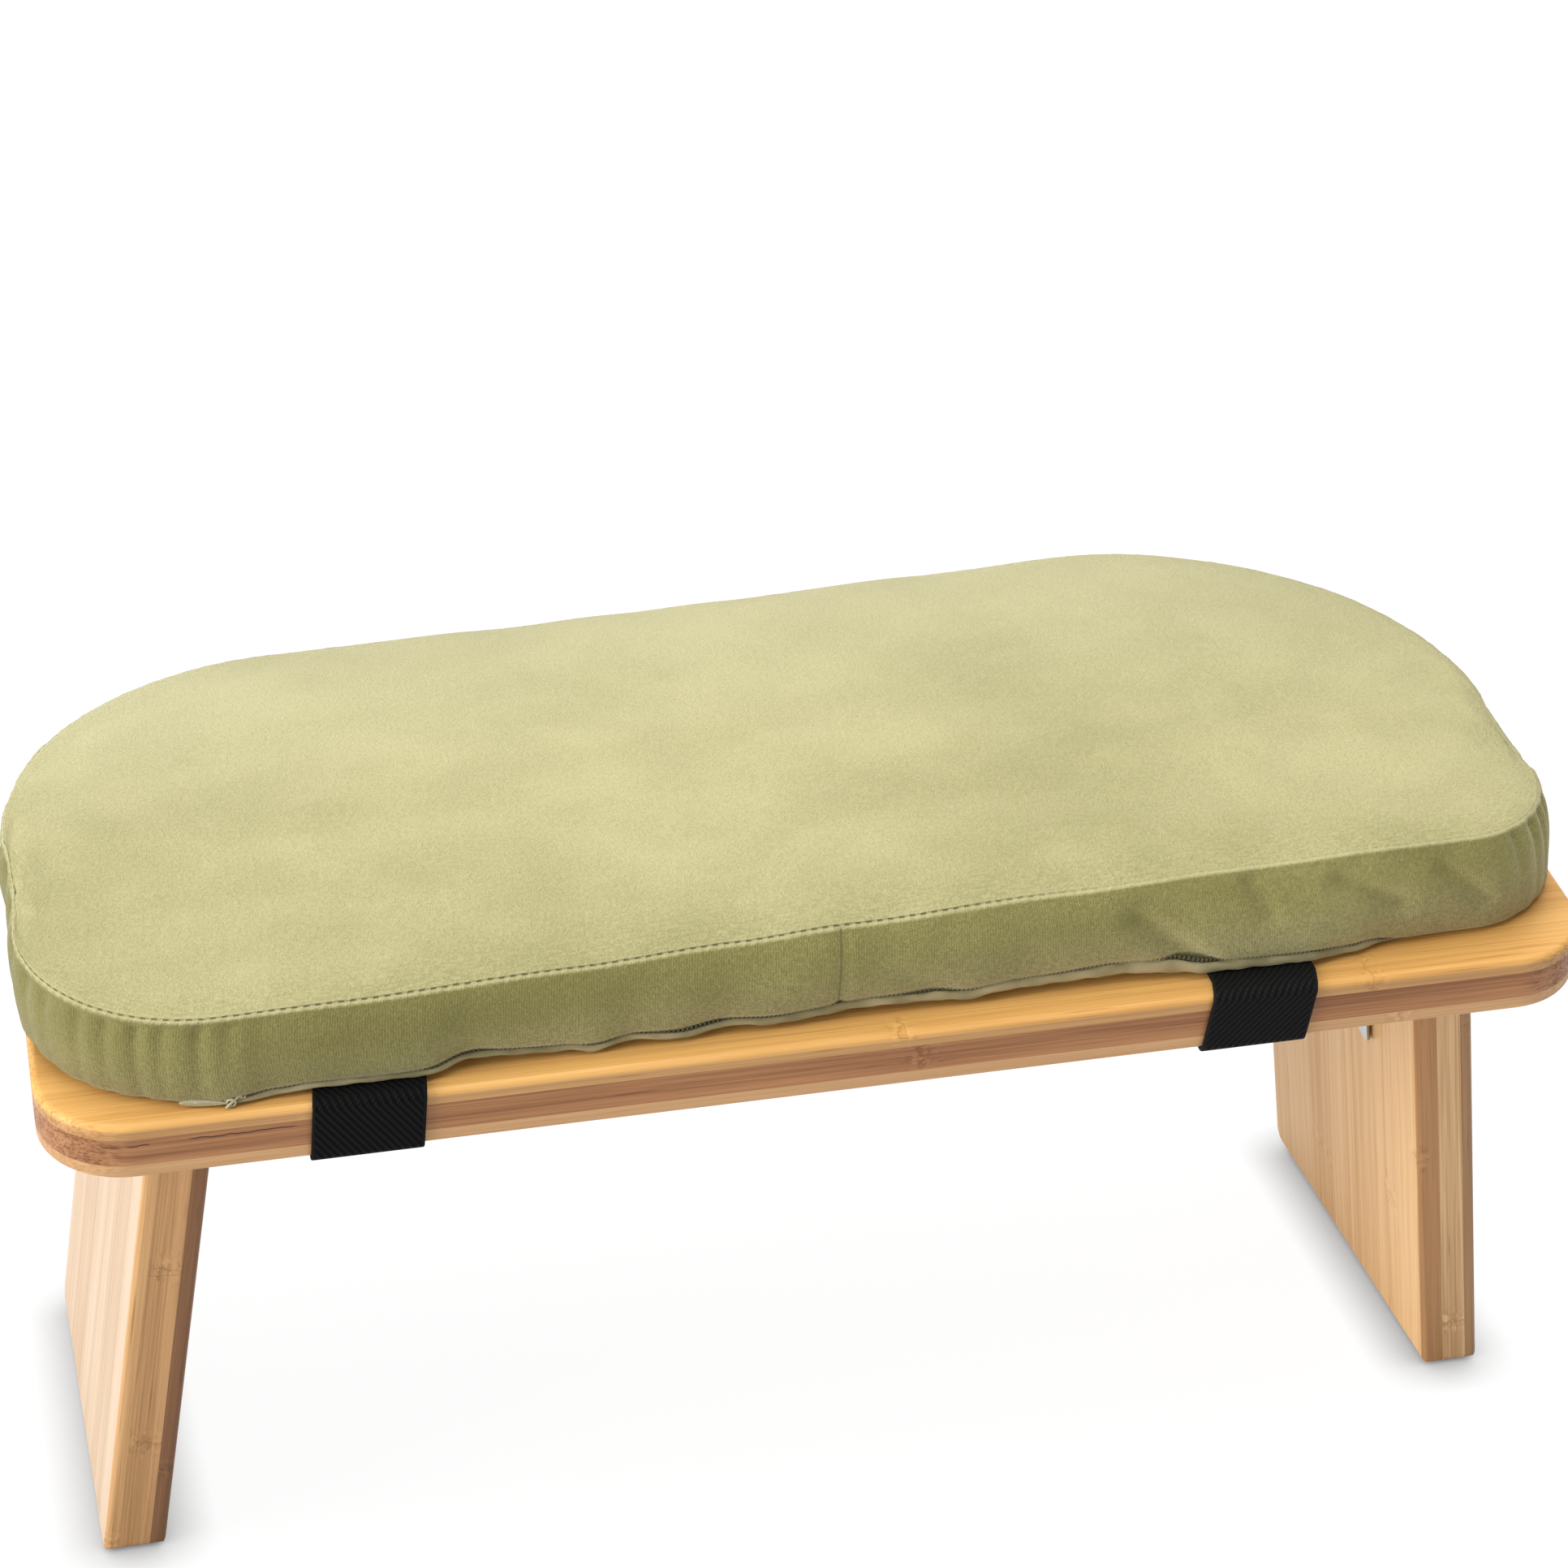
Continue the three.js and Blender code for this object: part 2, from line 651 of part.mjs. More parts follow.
addPiece(seat, 'zip_tape', zipTape(), zipCloth);

// Zip slider: a shoe over the bead, with a bail on its face for the pull
const sliderFrame = new THREE.Group();
sliderFrame.position.set(sliderStart, frontEdge(sliderStart, 0), zipMiddle);
seat.add(sliderFrame);
const shoeInside = -zipBeadHeight - fitGap;
const shoeOutside = shoeInside - sliderPlate;
const shoeHalfInside = zipBeadWidth / 2 + fitGap;
const shoeHalfOutside = shoeHalfInside + sliderFlange;
const shoe = prismAlongX(filletedShape([
  [-fitGap, -shoeHalfOutside, 0],
  [-fitGap, -shoeHalfInside, 0],
  [shoeInside, -shoeHalfInside, 0],
  [shoeInside, shoeHalfInside, 0],
  [-fitGap, shoeHalfInside, 0],
  [-fitGap, shoeHalfOutside, 0],
  [shoeOutside, shoeHalfOutside, sliderEdgeRadius],
  [shoeOutside, -shoeHalfOutside, sliderEdgeRadius],
]), sliderLength);
const bailCrown = shoeOutside - bailHeight;
const bailRoof = bailCrown + bailThickness;
const bailFoot = (shoeInside + shoeOutside) / 2;
const bail = prism(filletedShape([
  [-bailSpan / 2, bailFoot, 0],
  [-bailSpan / 2, bailCrown, bailThickness],
  [bailSpan / 2, bailCrown, bailThickness],
  [bailSpan / 2, bailFoot, 0],
  [bailSpan / 2 - bailThickness, bailFoot, 0],
  [bailSpan / 2 - bailThickness, bailRoof, 0],
  [-bailSpan / 2 + bailThickness, bailRoof, 0],
  [-bailSpan / 2 + bailThickness, bailFoot, 0],
]), bailWidth, filletSegments);
addPiece(sliderFrame, 'zip_slider', geometryOf(solidOf(shoe).add(solidOf(bail))), zipMetal);

// Pull tab: a flat tongue whose eye goes round the bail, lying along the zip
const pullShape = filletedShape([
  [-pullLength, -pullWidth / 2, pullEndRadius],
  [pullBar / 2, -pullWidth / 2, pullBar],
  [pullBar / 2, pullWidth / 2, pullBar],
  [-pullLength, pullWidth / 2, pullEndRadius],
]);
pullShape.holes.push(filletedShape([
  [-pullBar / 2, -pullEyeWidth / 2, 0],
  [-pullBar / 2, pullEyeWidth / 2, 0],
  [-pullBar / 2 - pullEyeLength, pullEyeWidth / 2, 0],
  [-pullBar / 2 - pullEyeLength, -pullEyeWidth / 2, 0],
]));
const pull = addPiece(sliderFrame, 'zip_pull', prismAlongY(pullShape, pullThickness), zipMetal);
pull.position.y = (shoeOutside + bailRoof) / 2;

// Strap section in the seat's side plane: once round the board, open above under the cushion
function strap(place) {
  const inner = fitGap;
  const outer = fitGap + strapThickness;
  const bend = seatEdgeRadius + inner;
  const frontTail = frontEdge(place, 0) - fitGap;
  const backTail = backEdge(place, 0) + fitGap;
  const section = filletedShape([
    [frontTail, seatThickness + inner, 0],
    [-inner, seatThickness + inner, bend],
    [-inner, -inner, bend],
    [seatDepth + inner, -inner, bend],
    [seatDepth + inner, seatThickness + inner, bend],
    [backTail, seatThickness + inner, 0],
    [backTail, seatThickness + outer, 0],
    [seatDepth + outer, seatThickness + outer, bend + strapThickness],
    [seatDepth + outer, -outer, bend + strapThickness],
    [-outer, -outer, bend + strapThickness],
    [-outer, seatThickness + outer, bend + strapThickness],
    [frontTail, seatThickness + outer, 0],
  ]);
  return prismAlongX(section, strapWidth);
}
for (const [sideName, place] of [['left', leftStrapPlace], ['right', rightStrapPlace]]) {
  addPiece(seat, `${sideName}_strap`, strap(place), elastic).position.x = place;
}

// The feet stand on Z = 0 and the whole bench is centred over the origin
bench.updateMatrixWorld(true);
const extent = new THREE.Box3().setFromObject(bench, true);
const centre = extent.getCenter(new THREE.Vector3());
bench.position.set(-centre.x, -centre.y, -extent.min.z);

export default bench;
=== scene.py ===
# Folding meditation bench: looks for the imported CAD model. Metres, in the CAD's own frame: X runs
# along the seat, the low front edge of the seat faces -Y, and the feet stand on Z = 0.
import json
import math

import bmesh
import bpy
from mathutils import Matrix, Vector, noise


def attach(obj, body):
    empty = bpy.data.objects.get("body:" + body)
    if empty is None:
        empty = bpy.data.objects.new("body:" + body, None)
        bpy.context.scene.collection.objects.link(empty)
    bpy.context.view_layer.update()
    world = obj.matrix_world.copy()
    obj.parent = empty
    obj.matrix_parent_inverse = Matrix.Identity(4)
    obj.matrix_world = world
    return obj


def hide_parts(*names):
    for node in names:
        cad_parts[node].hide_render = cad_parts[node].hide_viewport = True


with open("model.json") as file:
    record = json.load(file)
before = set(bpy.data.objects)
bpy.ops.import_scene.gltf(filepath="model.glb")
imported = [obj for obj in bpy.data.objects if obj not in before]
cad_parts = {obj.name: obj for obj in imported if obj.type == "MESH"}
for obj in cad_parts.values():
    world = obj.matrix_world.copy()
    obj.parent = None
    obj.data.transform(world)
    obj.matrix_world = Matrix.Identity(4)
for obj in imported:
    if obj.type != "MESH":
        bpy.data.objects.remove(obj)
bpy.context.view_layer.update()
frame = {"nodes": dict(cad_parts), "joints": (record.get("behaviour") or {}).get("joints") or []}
mm = 0.001

# Camera: it looks down on the bench from the front and a little from the left, through a long
# lens about 1.2 m away, so that the board's front edge and the top of the cushion both show.
camera_place = (-0.227295, -1.013689, 0.693918)
heading, dip, roll = -12.774, 24.864, -0.568  # degrees: to the right, down, about the lens axis


def linked(name, data):
    """A new object for finished data, in the scene"""
    piece = bpy.data.objects.new(name, data)
    bpy.context.scene.collection.objects.link(piece)
    return piece


camera_data = bpy.data.cameras.new("camera")
camera_data.lens = 86.405
camera_data.sensor_width = 36
camera = linked("camera", camera_data)
camera.matrix_world = (
    Matrix.Translation(camera_place) @ Matrix.Rotation(math.radians(heading), 4, "Z")
    @ Matrix.Rotation(math.radians(90 - dip), 4, "X") @ Matrix.Rotation(math.radians(roll), 4, "Z")
)
bpy.context.scene.camera = camera
bpy.context.scene.view_settings.view_transform = "Standard"


# Node trees are written as plain sums of sockets
class Wire:
    """One socket of a node tree, used in plain sums"""

    def __init__(self, nodes, socket):
        self.nodes = nodes
        self.socket = socket

    def maths(self, operation, *others):
        values = dict(enumerate((self, *others)))
        return self.nodes.add("ShaderNodeMath", {"operation": operation}, values)

    def reflected(self, operation, other):
        return self.nodes.add("ShaderNodeMath", {"operation": operation}, {0: other, 1: self})

    def __add__(self, other):
        return self.maths("ADD", other)

    def __radd__(self, other):
        return self.reflected("ADD", other)

    def __sub__(self, other):
        return self.maths("SUBTRACT", other)

    def __rsub__(self, other):
        return self.reflected("SUBTRACT", other)

    def __mul__(self, other):
        return self.maths("MULTIPLY", other)

    def __rmul__(self, other):
        return self.reflected("MULTIPLY", other)

    def __truediv__(self, other):
        return self.maths("DIVIDE", other)

    def __abs__(self):
        return self.maths("ABSOLUTE")


class Nodes:
    """A node tree that is written as plain expressions"""

    def __init__(self, tree):
        self.tree = tree

    def add(self, kind, settings=None, values=None, output=0):
        node = self.tree.nodes.new(kind)
        for name, value in (settings or {}).items():
            setattr(node, name, value)
        for place, value in (values or {}).items():
            self.feed(node.inputs[place], value)
        return Wire(self, node.outputs[output])

    def feed(self, socket, value):
        if isinstance(value, Wire):
            self.tree.links.new(value.socket, socket)
        elif socket.type == "RGBA" and len(value) == 3:
            socket.default_value = (*value, 1)
        else:
            socket.default_value = value

    def step(self, value, low, high):
        """0 below low and 1 above high, with a soft rise between them"""
        settings = {"interpolation_type": "SMOOTHSTEP"}
        return self.add("ShaderNodeMapRange", settings, {0: value, 1: low, 2: high, 3: 0, 4: 1})

    def fall(self, value, low, high):
        """1 below low and 0 above high, with a soft fall between them"""
        return 1 - self.step(value, low, high)

    def noise(self, place, scale, detail=2, roughness=0.5):
        values = {"Vector": place, "Scale": scale, "Detail": detail, "Roughness": roughness}
        return self.add("ShaderNodeTexNoise", None, values)

    def patches(self, place, scale, detail=2, roughness=0.5, low=0.3, high=0.7):
        """Noise drawn out until it runs from 0 to 1"""
        return self.step(self.noise(place, scale, detail, roughness), low, high)

    def wave(self, value, pitch):
        """A sine that comes round once in each pitch"""
        return (value * (2 * math.pi / pitch)).maths("SINE")

    def tint(self, factor, first, second):
        """First colour at factor 0, second colour at factor 1"""
        values = {0: factor, 6: first, 7: second}
        return self.add("ShaderNodeMix", {"data_type": "RGBA"}, values, 2)

    def vector(self, x, y, z):
        return self.add("ShaderNodeCombineXYZ", None, {0: x, 1: y, 2: z})

    def seen(self):
        """1 for rays from the camera, from gloss and through glass"""
        camera_ray = self.add("ShaderNodeLightPath", None, None, "Is Camera Ray")
        glossy_ray = self.add("ShaderNodeLightPath", None, None, "Is Glossy Ray")
        through_ray = self.add("ShaderNodeLightPath", None, None, "Is Transmission Ray")
        return (camera_ray + glossy_ray + through_ray).maths("MINIMUM", 1)


class Finish(Nodes):
    """A material with one principled surface"""

    def __init__(self, name, **constants):
        self.material = bpy.data.materials.new(name)
        self.material.use_nodes = True
        super().__init__(self.material.node_tree)
        self.surface = self.tree.nodes["Principled BSDF"]
        self.set(**constants)

    def set(self, **values):
        for name, value in values.items():
            socket = name.replace("_", " ").title().replace("Ior", "IOR")
            self.feed(self.surface.inputs[socket], value)

    def bump(self, height, distance, strength=1):
        values = {"Strength": strength, "Distance": distance, "Height": height}
        self.set(normal=self.add("ShaderNodeBump", None, values))

    def split(self, vector):
        return [self.add("ShaderNodeSeparateXYZ", None, {0: vector}, axis) for axis in range(3)]

    def object_place(self):
        return self.add("ShaderNodeTexCoord", None, None, "Object")

    def place_in(self, matrix):
        """Object coordinates measured along the axes of a frame"""
        values = {"Vector": self.object_place(), "Location": matrix.translation,
                  "Rotation": matrix.to_euler("XYZ")}
        return self.add("ShaderNodeMapping", {"vector_type": "TEXTURE"}, values)

    def uv(self, name):
        return self.add("ShaderNodeUVMap", {"uv_map": name})


# Studio: a white sweep of floor, a large soft lamp high on the left and a smaller one low there,
# one overhead and a weak one in front. The world is white to the camera and in reflections, and
# dim as a light.
world = bpy.data.worlds.new("world")
world.use_nodes = True
bpy.context.scene.world = world
sky = Nodes(world.node_tree)
sky_light = world.node_tree.nodes["Background"]
sky_strength = 0.26
sky_light.inputs["Color"].default_value = (1, 1, 1, 1)
sky.feed(sky_light.inputs["Strength"], sky_strength + (1 - sky_strength) * sky.seen())


def lamp(name, place, aim_height, width, height, power):
    """A soft lamp, sizes in metres and power in watts, aimed at a height over the origin"""
    data = bpy.data.lights.new(name, "AREA")
    data.shape = "RECTANGLE"
    data.size = width
    data.size_y = height
    data.energy = power
    aim = Vector((0, 0, aim_height)) - Vector(place)
    turn = aim.to_track_quat("-Z", "Y").to_matrix().to_4x4()
    linked(name, data).matrix_world = Matrix.Translation(place) @ turn


lamp("left_softbox", (-3.3, -0.9, 1.9), 0.15, 2.2, 2.0, 84)
lamp("low_left_softbox", (-2.7, -0.9, 0.5), 0.1, 1.4, 0.8, 34)
lamp("overhead_softbox", (0.1, 0.0, 1.9), 0.15, 1.5, 1.1, 28)
lamp("front_fill", (0.9, -2.0, 0.8), 0.12, 1.0, 1.0, 4.5)


def piece_from(bm, name, finish, smooth_below=35):
    """A piece with its place in its mesh, smooth where its faces meet at a small angle"""
    bm.normal_update()
    bmesh.ops.recalc_face_normals(bm, faces=bm.faces)
    data = bpy.data.meshes.new(name)
    bm.to_mesh(data)
    bm.free()
    data.materials.append(finish.material)
    for face in data.polygons:
        face.use_smooth = True
    data.set_sharp_from_angle(angle=math.radians(smooth_below))
    return linked(name, data)


floor_mesh = bmesh.new()
floor_half, floor_back, floor_drop = 9, 5, 0.0002
bmesh.ops.create_grid(floor_mesh, x_segments=1, y_segments=1, size=floor_half)
bmesh.ops.translate(floor_mesh, vec=(0, floor_back, -floor_drop), verts=floor_mesh.verts)
floor_white, contact_shade = 0.955, 0.85
floor_finish = Finish("pale_floor", roughness=0.9, specular_ior_level=0)
floor_x, floor_y, _ = floor_finish.split(floor_finish.object_place())
distance = (floor_x * floor_x + floor_y * floor_y).maths("SQRT")
far = floor_finish.step(distance, 0.45, 1.1)
# Painted contact shadow: ambient occlusion darkens the floor's glow to the camera round the feet,
# its normal leant so that the shadow lies on the left of the legs.
away_from_light = {"Distance": 0.017, "Normal": Vector((0.55, -0.1, 0.83)).normalized()}
painted_contact_shadow = 1 - floor_finish.add("ShaderNodeAmbientOcclusion", {"samples": 12}, away_from_light, "AO")
glow = (floor_white + 0.1 * far - contact_shade * painted_contact_shadow) * floor_finish.seen()
bounce = 0.78 - 0.70 * floor_finish.seen()
floor_finish.set(base_color=floor_finish.vector(bounce, bounce, bounce), emission_strength=1)
floor_finish.set(emission_color=floor_finish.vector(glow, glow, glow))
floor = piece_from(floor_mesh, "floor", floor_finish)


# Seat board: three layers of bamboo glued flat, the light face layers a quarter and the darker
# core half of the 18 mm. Its front corners are tight, its back follows the cushion, and its
# edges are rounded over and lacquered satin.
seat_turn = Matrix.Rotation(math.radians(9.5), 4, "X")
board_front_radius, board_back_radius = 26 * mm, 92 * mm
board_top_round, board_bottom_round = 2.2 * mm, 1.2 * mm


def reach(matrix, *nodes):
    """Lowest and highest corner of CAD nodes along a frame's own axes"""
    inverse = matrix.inverted()
    meshes = [frame["nodes"][node].data for node in nodes]
    points = [inverse @ vertex.co for mesh in meshes for vertex in mesh.vertices]
    low = Vector(min(point[axis] for point in points) for axis in range(3))
    high = Vector(max(point[axis] for point in points) for axis in range(3))
    return low, high


board_low, board_high = reach(seat_turn, "seat_bottom_ply", "seat_top_ply")
seat_origin = seat_turn @ Vector((0, board_low.y, board_low.z))
seat_frame = Matrix.Translation(seat_origin) @ seat_turn
board_size = board_high - board_low
board_top = board_size.z


def lerp(low, high, share):
    return low + (high - low) * share


def verts_of(parts):
    return [part for part in parts if isinstance(part, bmesh.types.BMVert)]


def edges_of(parts):
    return [part for part in parts if isinstance(part, bmesh.types.BMEdge)]


def round_over(bm, parts, radius, segments, affect="EDGES"):
    """A round of equal steps on the edges, or on the corners of a flat outline"""
    bmesh.ops.bevel(bm, geom=parts, offset=radius, segments=segments, profile=0.5, affect=affect,
                    material=-1)


def raise_plate(bm, height):
    """Turns a flat outline into a plate"""
    raised = bmesh.ops.extrude_face_region(bm, geom=bm.faces[:])["geom"]
    bmesh.ops.translate(bm, vec=(0, 0, height), verts=verts_of(raised))
    bmesh.ops.recalc_face_normals(bm, faces=bm.faces)


def cut(bm, place, normal):
    """Cuts away what lies on the normal's side of a plane and closes the cut"""
    geometry = bm.verts[:] + bm.edges[:] + bm.faces[:]
    done = bmesh.ops.bisect_plane(bm, geom=geometry, dist=1e-6, plane_co=place, plane_no=normal,
                                  clear_outer=True)
    rim = edges_of(done["geom_cut"])
    if rim:
        bmesh.ops.edgeloop_fill(bm, edges=rim)


def layer_edges(matrix, axis, names):
    """Where the layers of a glued board meet, from the glue lines of the CAD nodes"""
    reaches = [reach(matrix, name) for name in names]
    ends = [reaches[0][0][axis] - mm]
    for before, after in zip(reaches, reaches[1:]):
        ends.append((before[1][axis] + after[0][axis]) / 2)
    return ends + [reaches[-1][1][axis] + mm]


def cut_layer(blank, matrix, axis, low, high, hairline=0.01 * mm):
    """One glued layer of a board, between two planes across one axis of its frame"""
    layer = blank.copy()
    normal = matrix.to_3x3().col[axis]
    middle = matrix.translation
    cut(layer, middle + normal * (high - hairline), normal)
    cut(layer, middle + normal * (low + hairline), -normal)
    return layer


def modify(piece, name, kind, **settings):
    modifier = piece.modifiers.new(name, kind)
    for setting, value in settings.items():
        setattr(modifier, setting, value)


def weighted(piece):
    """Flat faces stay flat in the light, and their rounded edges carry the whole turn"""
    modify(piece, "flat_faces", "WEIGHTED_NORMAL", keep_sharp=True, weight=60)


def bamboo(name, matrix, light, dark, streak, seed, strip=21 * mm, speckle=0.5, knuckles=(),
           faces=(), cracks=()):
    """Bamboo whose grain runs along the first axis of a frame, in strips across the second.
    Fibre bundles run the whole length, so they are streaks on long faces and specks on ends.
    Knuckles, faces and cracks have their places in mm."""
    finish = Finish(name, specular_ior_level=0.3, coat_weight=0.06, coat_roughness=0.22)
    grain = finish.place_in(matrix)
    along, across, through = finish.split(grain)
    normal = finish.add("ShaderNodeTexCoord", None, None, "Normal")
    facing = finish.add("ShaderNodeVectorMath", {"operation": "DOT_PRODUCT"},
                        {0: normal, 1: matrix.col[0].xyz}, "Value")
    end = finish.step(abs(facing), 0.1, 0.55)

    # Every strip has its own tone and its own row of knuckles, and a few knuckles are placed
    knuckle_gap = 310 * mm
    wander = finish.noise(finish.vector(along * 0.2, across, seed), 20) - 0.5
    place = (across + wander * 0.6 * mm) / strip + (seed * 3.7 + 0.37)
    number = place.maths("FLOOR")
    within = place - number
    own = finish.add("ShaderNodeTexWhiteNoise", {"noise_dimensions": "2D"},
                     {"Vector": finish.vector(number, seed, 0)})
    other = finish.add("ShaderNodeTexWhiteNoise", {"noise_dimensions": "2D"},
                       {"Vector": finish.vector(number, seed + 9, 0)})
    joint = finish.fall(within.maths("MINIMUM", 1 - within) * strip, 0.05 * mm, 0.25 * mm)
    ring_place = ((along + other * knuckle_gap) / knuckle_gap).maths("FRACT") - 0.5
    near = 0.7 - 0.7 * finish.step(abs(ring_place) * knuckle_gap, 1 * mm, 8 * mm)
    gap = ring_place * knuckle_gap
    for knuckle in knuckles:
        where, beside, depth, length = (part * mm for part in knuckle)
        side = abs(across - beside) + abs(through - depth)
        there = finish.fall(abs(along - where), 0.2 * length, length)
        there = there * finish.fall(side, 4 * mm, 8 * mm)
        near = near.maths("MAXIMUM", there)
        gap = gap + there * (along - where - gap)

    # Fibres, bent and broken at the knuckles
    bend = finish.noise(grain, 300, 3)
    swerve = (bend - 0.5) * near * (4.5 * mm)
    stretched = finish.vector(along * 0.012 + swerve * 0.5, across + swerve, through + seed * 0.1)
    bands = finish.patches(stretched, 120, 1)
    streaks = finish.patches(stretched, 420)
    fibres = finish.patches(stretched, 1500, 2, 0.6, 0.28, 0.72)
    threads = finish.vector(along * 0.03 + swerve, across + swerve, through + seed)
    bundle = finish.add("ShaderNodeTexVoronoi", None, {"Vector": threads, "Scale": 520})
    thread = finish.fall(bundle, 0.06, 0.2) * finish.patches(grain, 45, 1, low=0.42, high=0.6)
    dots = finish.add("ShaderNodeTexVoronoi", None, {"Vector": stretched, "Scale": 1150})
    speck = finish.fall(dots, 0.2, 0.5) * end
    patch = finish.noise(finish.vector(along * 0.35, across, through), 30, 1)

    tone = (bands - 0.5) * (0.34 * streak) + (streaks - 0.5) * (0.44 * streak)
    tone = tone + (fibres - 0.5) * (0.5 * streak) + thread * (0.75 * streak)
    tone = tone + speck * (0.75 * speckle) + (own - 0.5) * 0.34 + (patch - 0.5) * 0.5 + joint * 0.4
    scar_place = abs(gap + (bend - 0.5) * (9 * mm))
    scar = finish.fall(scar_place, 0.1 * mm, 0.7 * mm) * near
    tone = finish.step(tone + scar * 0.4 + near * (bend - 0.5) * 1.6 + 0.42, -0.15, 1.15)
    shade = finish.tint(tone, light, dark)
    # Faces with tones of their own. On the board's top and on some of the legs' fronts these tones
    # hold painted light and shade as well as the bamboo's own colour.
    for axis, low_place, high_place, face_light, face_dark in faces:
        on_face = finish.step((along, across, through)[axis], low_place * mm, high_place * mm)
        shade = finish.tint(on_face, shade, finish.tint(tone, face_light, face_dark))
    split_depth = 0
    for crack in cracks:
        start, stop, depth = (part * mm for part in crack)
        crooked = finish.noise(finish.vector(along, 0, depth), 160, 3) - 0.5
        line = finish.fall(abs(through - depth - crooked * 2.2 * mm), 0.06 * mm, 0.26 * mm)
        length = finish.step(along, start, start + 3 * mm) * finish.fall(along, stop - 3 * mm, stop)
        open_part = finish.patches(finish.vector(along, 7, depth), 120, 1, low=0.38, high=0.5)
        split = line * length * open_part
        shade = finish.tint(split * 0.9, shade, (0.03, 0.012, 0.006))
        split_depth = split_depth + split
    finish.set(base_color=shade, roughness=0.42 + 0.16 * tone)
    height = fibres * 0.6 + streaks * 0.3 - thread * 0.5 - speck * 0.3
    height = height + near * (bend - 0.5) * 3.5 - scar * 1.5 - joint * 0.6 - split_depth * 4
    finish.bump(height, 0.06 * mm)
    return finish


board = bmesh.new()
half = board_size.x / 2
outline = [board.verts.new((x, y, 0)) for x, y in
           ((-half, 0), (half, 0), (half, board_size.y), (-half, board_size.y))]
board.faces.new(outline)
round_over(board, outline[:2], board_front_radius, 14, "VERTICES")
back_corners = [vertex for vertex in board.verts if vertex.co.y > board_size.y - mm]
round_over(board, back_corners, board_back_radius, 30, "VERTICES")
raise_plate(board, board_top)
for level, radius in ((board_top, board_top_round), (0, board_bottom_round)):
    rim = [edge for edge in board.edges if all(abs(end.co.z - level) < 1e-6 for end in edge.verts)]
    round_over(board, rim, radius, 5)
bmesh.ops.transform(board, matrix=seat_frame, verts=board.verts)

board_finishes = {
    "seat_bottom_ply": bamboo(
        "bamboo_underside", seat_frame, (0.72, 0.43, 0.21), (0.46, 0.245, 0.105), streak=0.6,
        seed=1.3, speckle=0.6),
    "seat_core_ply": bamboo(
        "bamboo_core", seat_frame, (0.48, 0.225, 0.092), (0.215, 0.082, 0.031), streak=0.9,
        seed=2.1, strip=30 * mm, speckle=1.0,
        cracks=((-214, -196, 11.2), (-190, -158, 11.6))),
    "seat_top_ply": bamboo(
        "bamboo_top", seat_frame, (0.63, 0.36, 0.145), (0.37, 0.18, 0.06), streak=0.7, seed=3.2,
        # The top face is painted brighter and more orange than the layer's front: partly the
        # bamboo's skin, partly painted light on the face that looks up.
        speckle=0.65, faces=((2, 15.4, 17.4, (0.86, 0.49, 0.15), (0.58, 0.27, 0.065)),),
        knuckles=((14, 3, 18, 6),)),
}
edges = layer_edges(seat_frame, 2, list(board_finishes))
for (name, finish), low, high in zip(board_finishes.items(), edges, edges[1:]):
    layer = cut_layer(board, seat_frame, 2, low, high)
    ply = piece_from(layer, name.replace("ply", "layer"), finish)
    weighted(ply)
    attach(ply, "seat")
    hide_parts(name)
    "bamboo_core" if "core" in name else "bamboo_face"
board.free()


# Legs: plates of three layers glued upright, 148 by 19 mm, splayed 8.5 degrees. Their upright
# edges are rounded over, their tops are cut to the board, and each foot is sawn level with the
# floor with a small round in front and a larger one behind.
splay = math.radians(8.5)
leg_edge_round = 2.2 * mm
spare = 30 * mm  # each plate starts this much longer at both ends, and is cut to its place
foot_front_radius, foot_back_radius = 4 * mm, 12 * mm
foot_plane = Vector((0, 0, -1))
seat_along = seat_frame.to_3x3().col[1].copy()
seat_up = seat_frame.to_3x3().col[2].copy()


def leg_frame(joint_name, turn):
    """A leg's own frame at its pivot: X outwards through the plate, Z up along the leg"""
    joint = next(joint for joint in frame["joints"] if joint["name"] == joint_name)
    at_pivot = Matrix.Translation(joint["pos_m"]) @ seat_turn @ Matrix.Rotation(turn, 4, "Z")
    return at_pivot @ Matrix.Rotation(-splay, 4, "Y")


def round_foot(bm, corner, wall, radius, steps=8):
    """Planes laid round an arc between the foot and an upright side, seen from beside"""
    between = (foot_plane + wall).normalized()
    opening = math.acos(foot_plane.dot(wall)) / 2
    centre = corner - between * (radius / math.cos(opening))
    axis = foot_plane.cross(wall).normalized()
    for step in range(1, steps):
        angle = 2 * opening * step / steps
        normal = Matrix.Rotation(angle, 3, axis) @ foot_plane
        cut(bm, centre + normal * radius, normal)


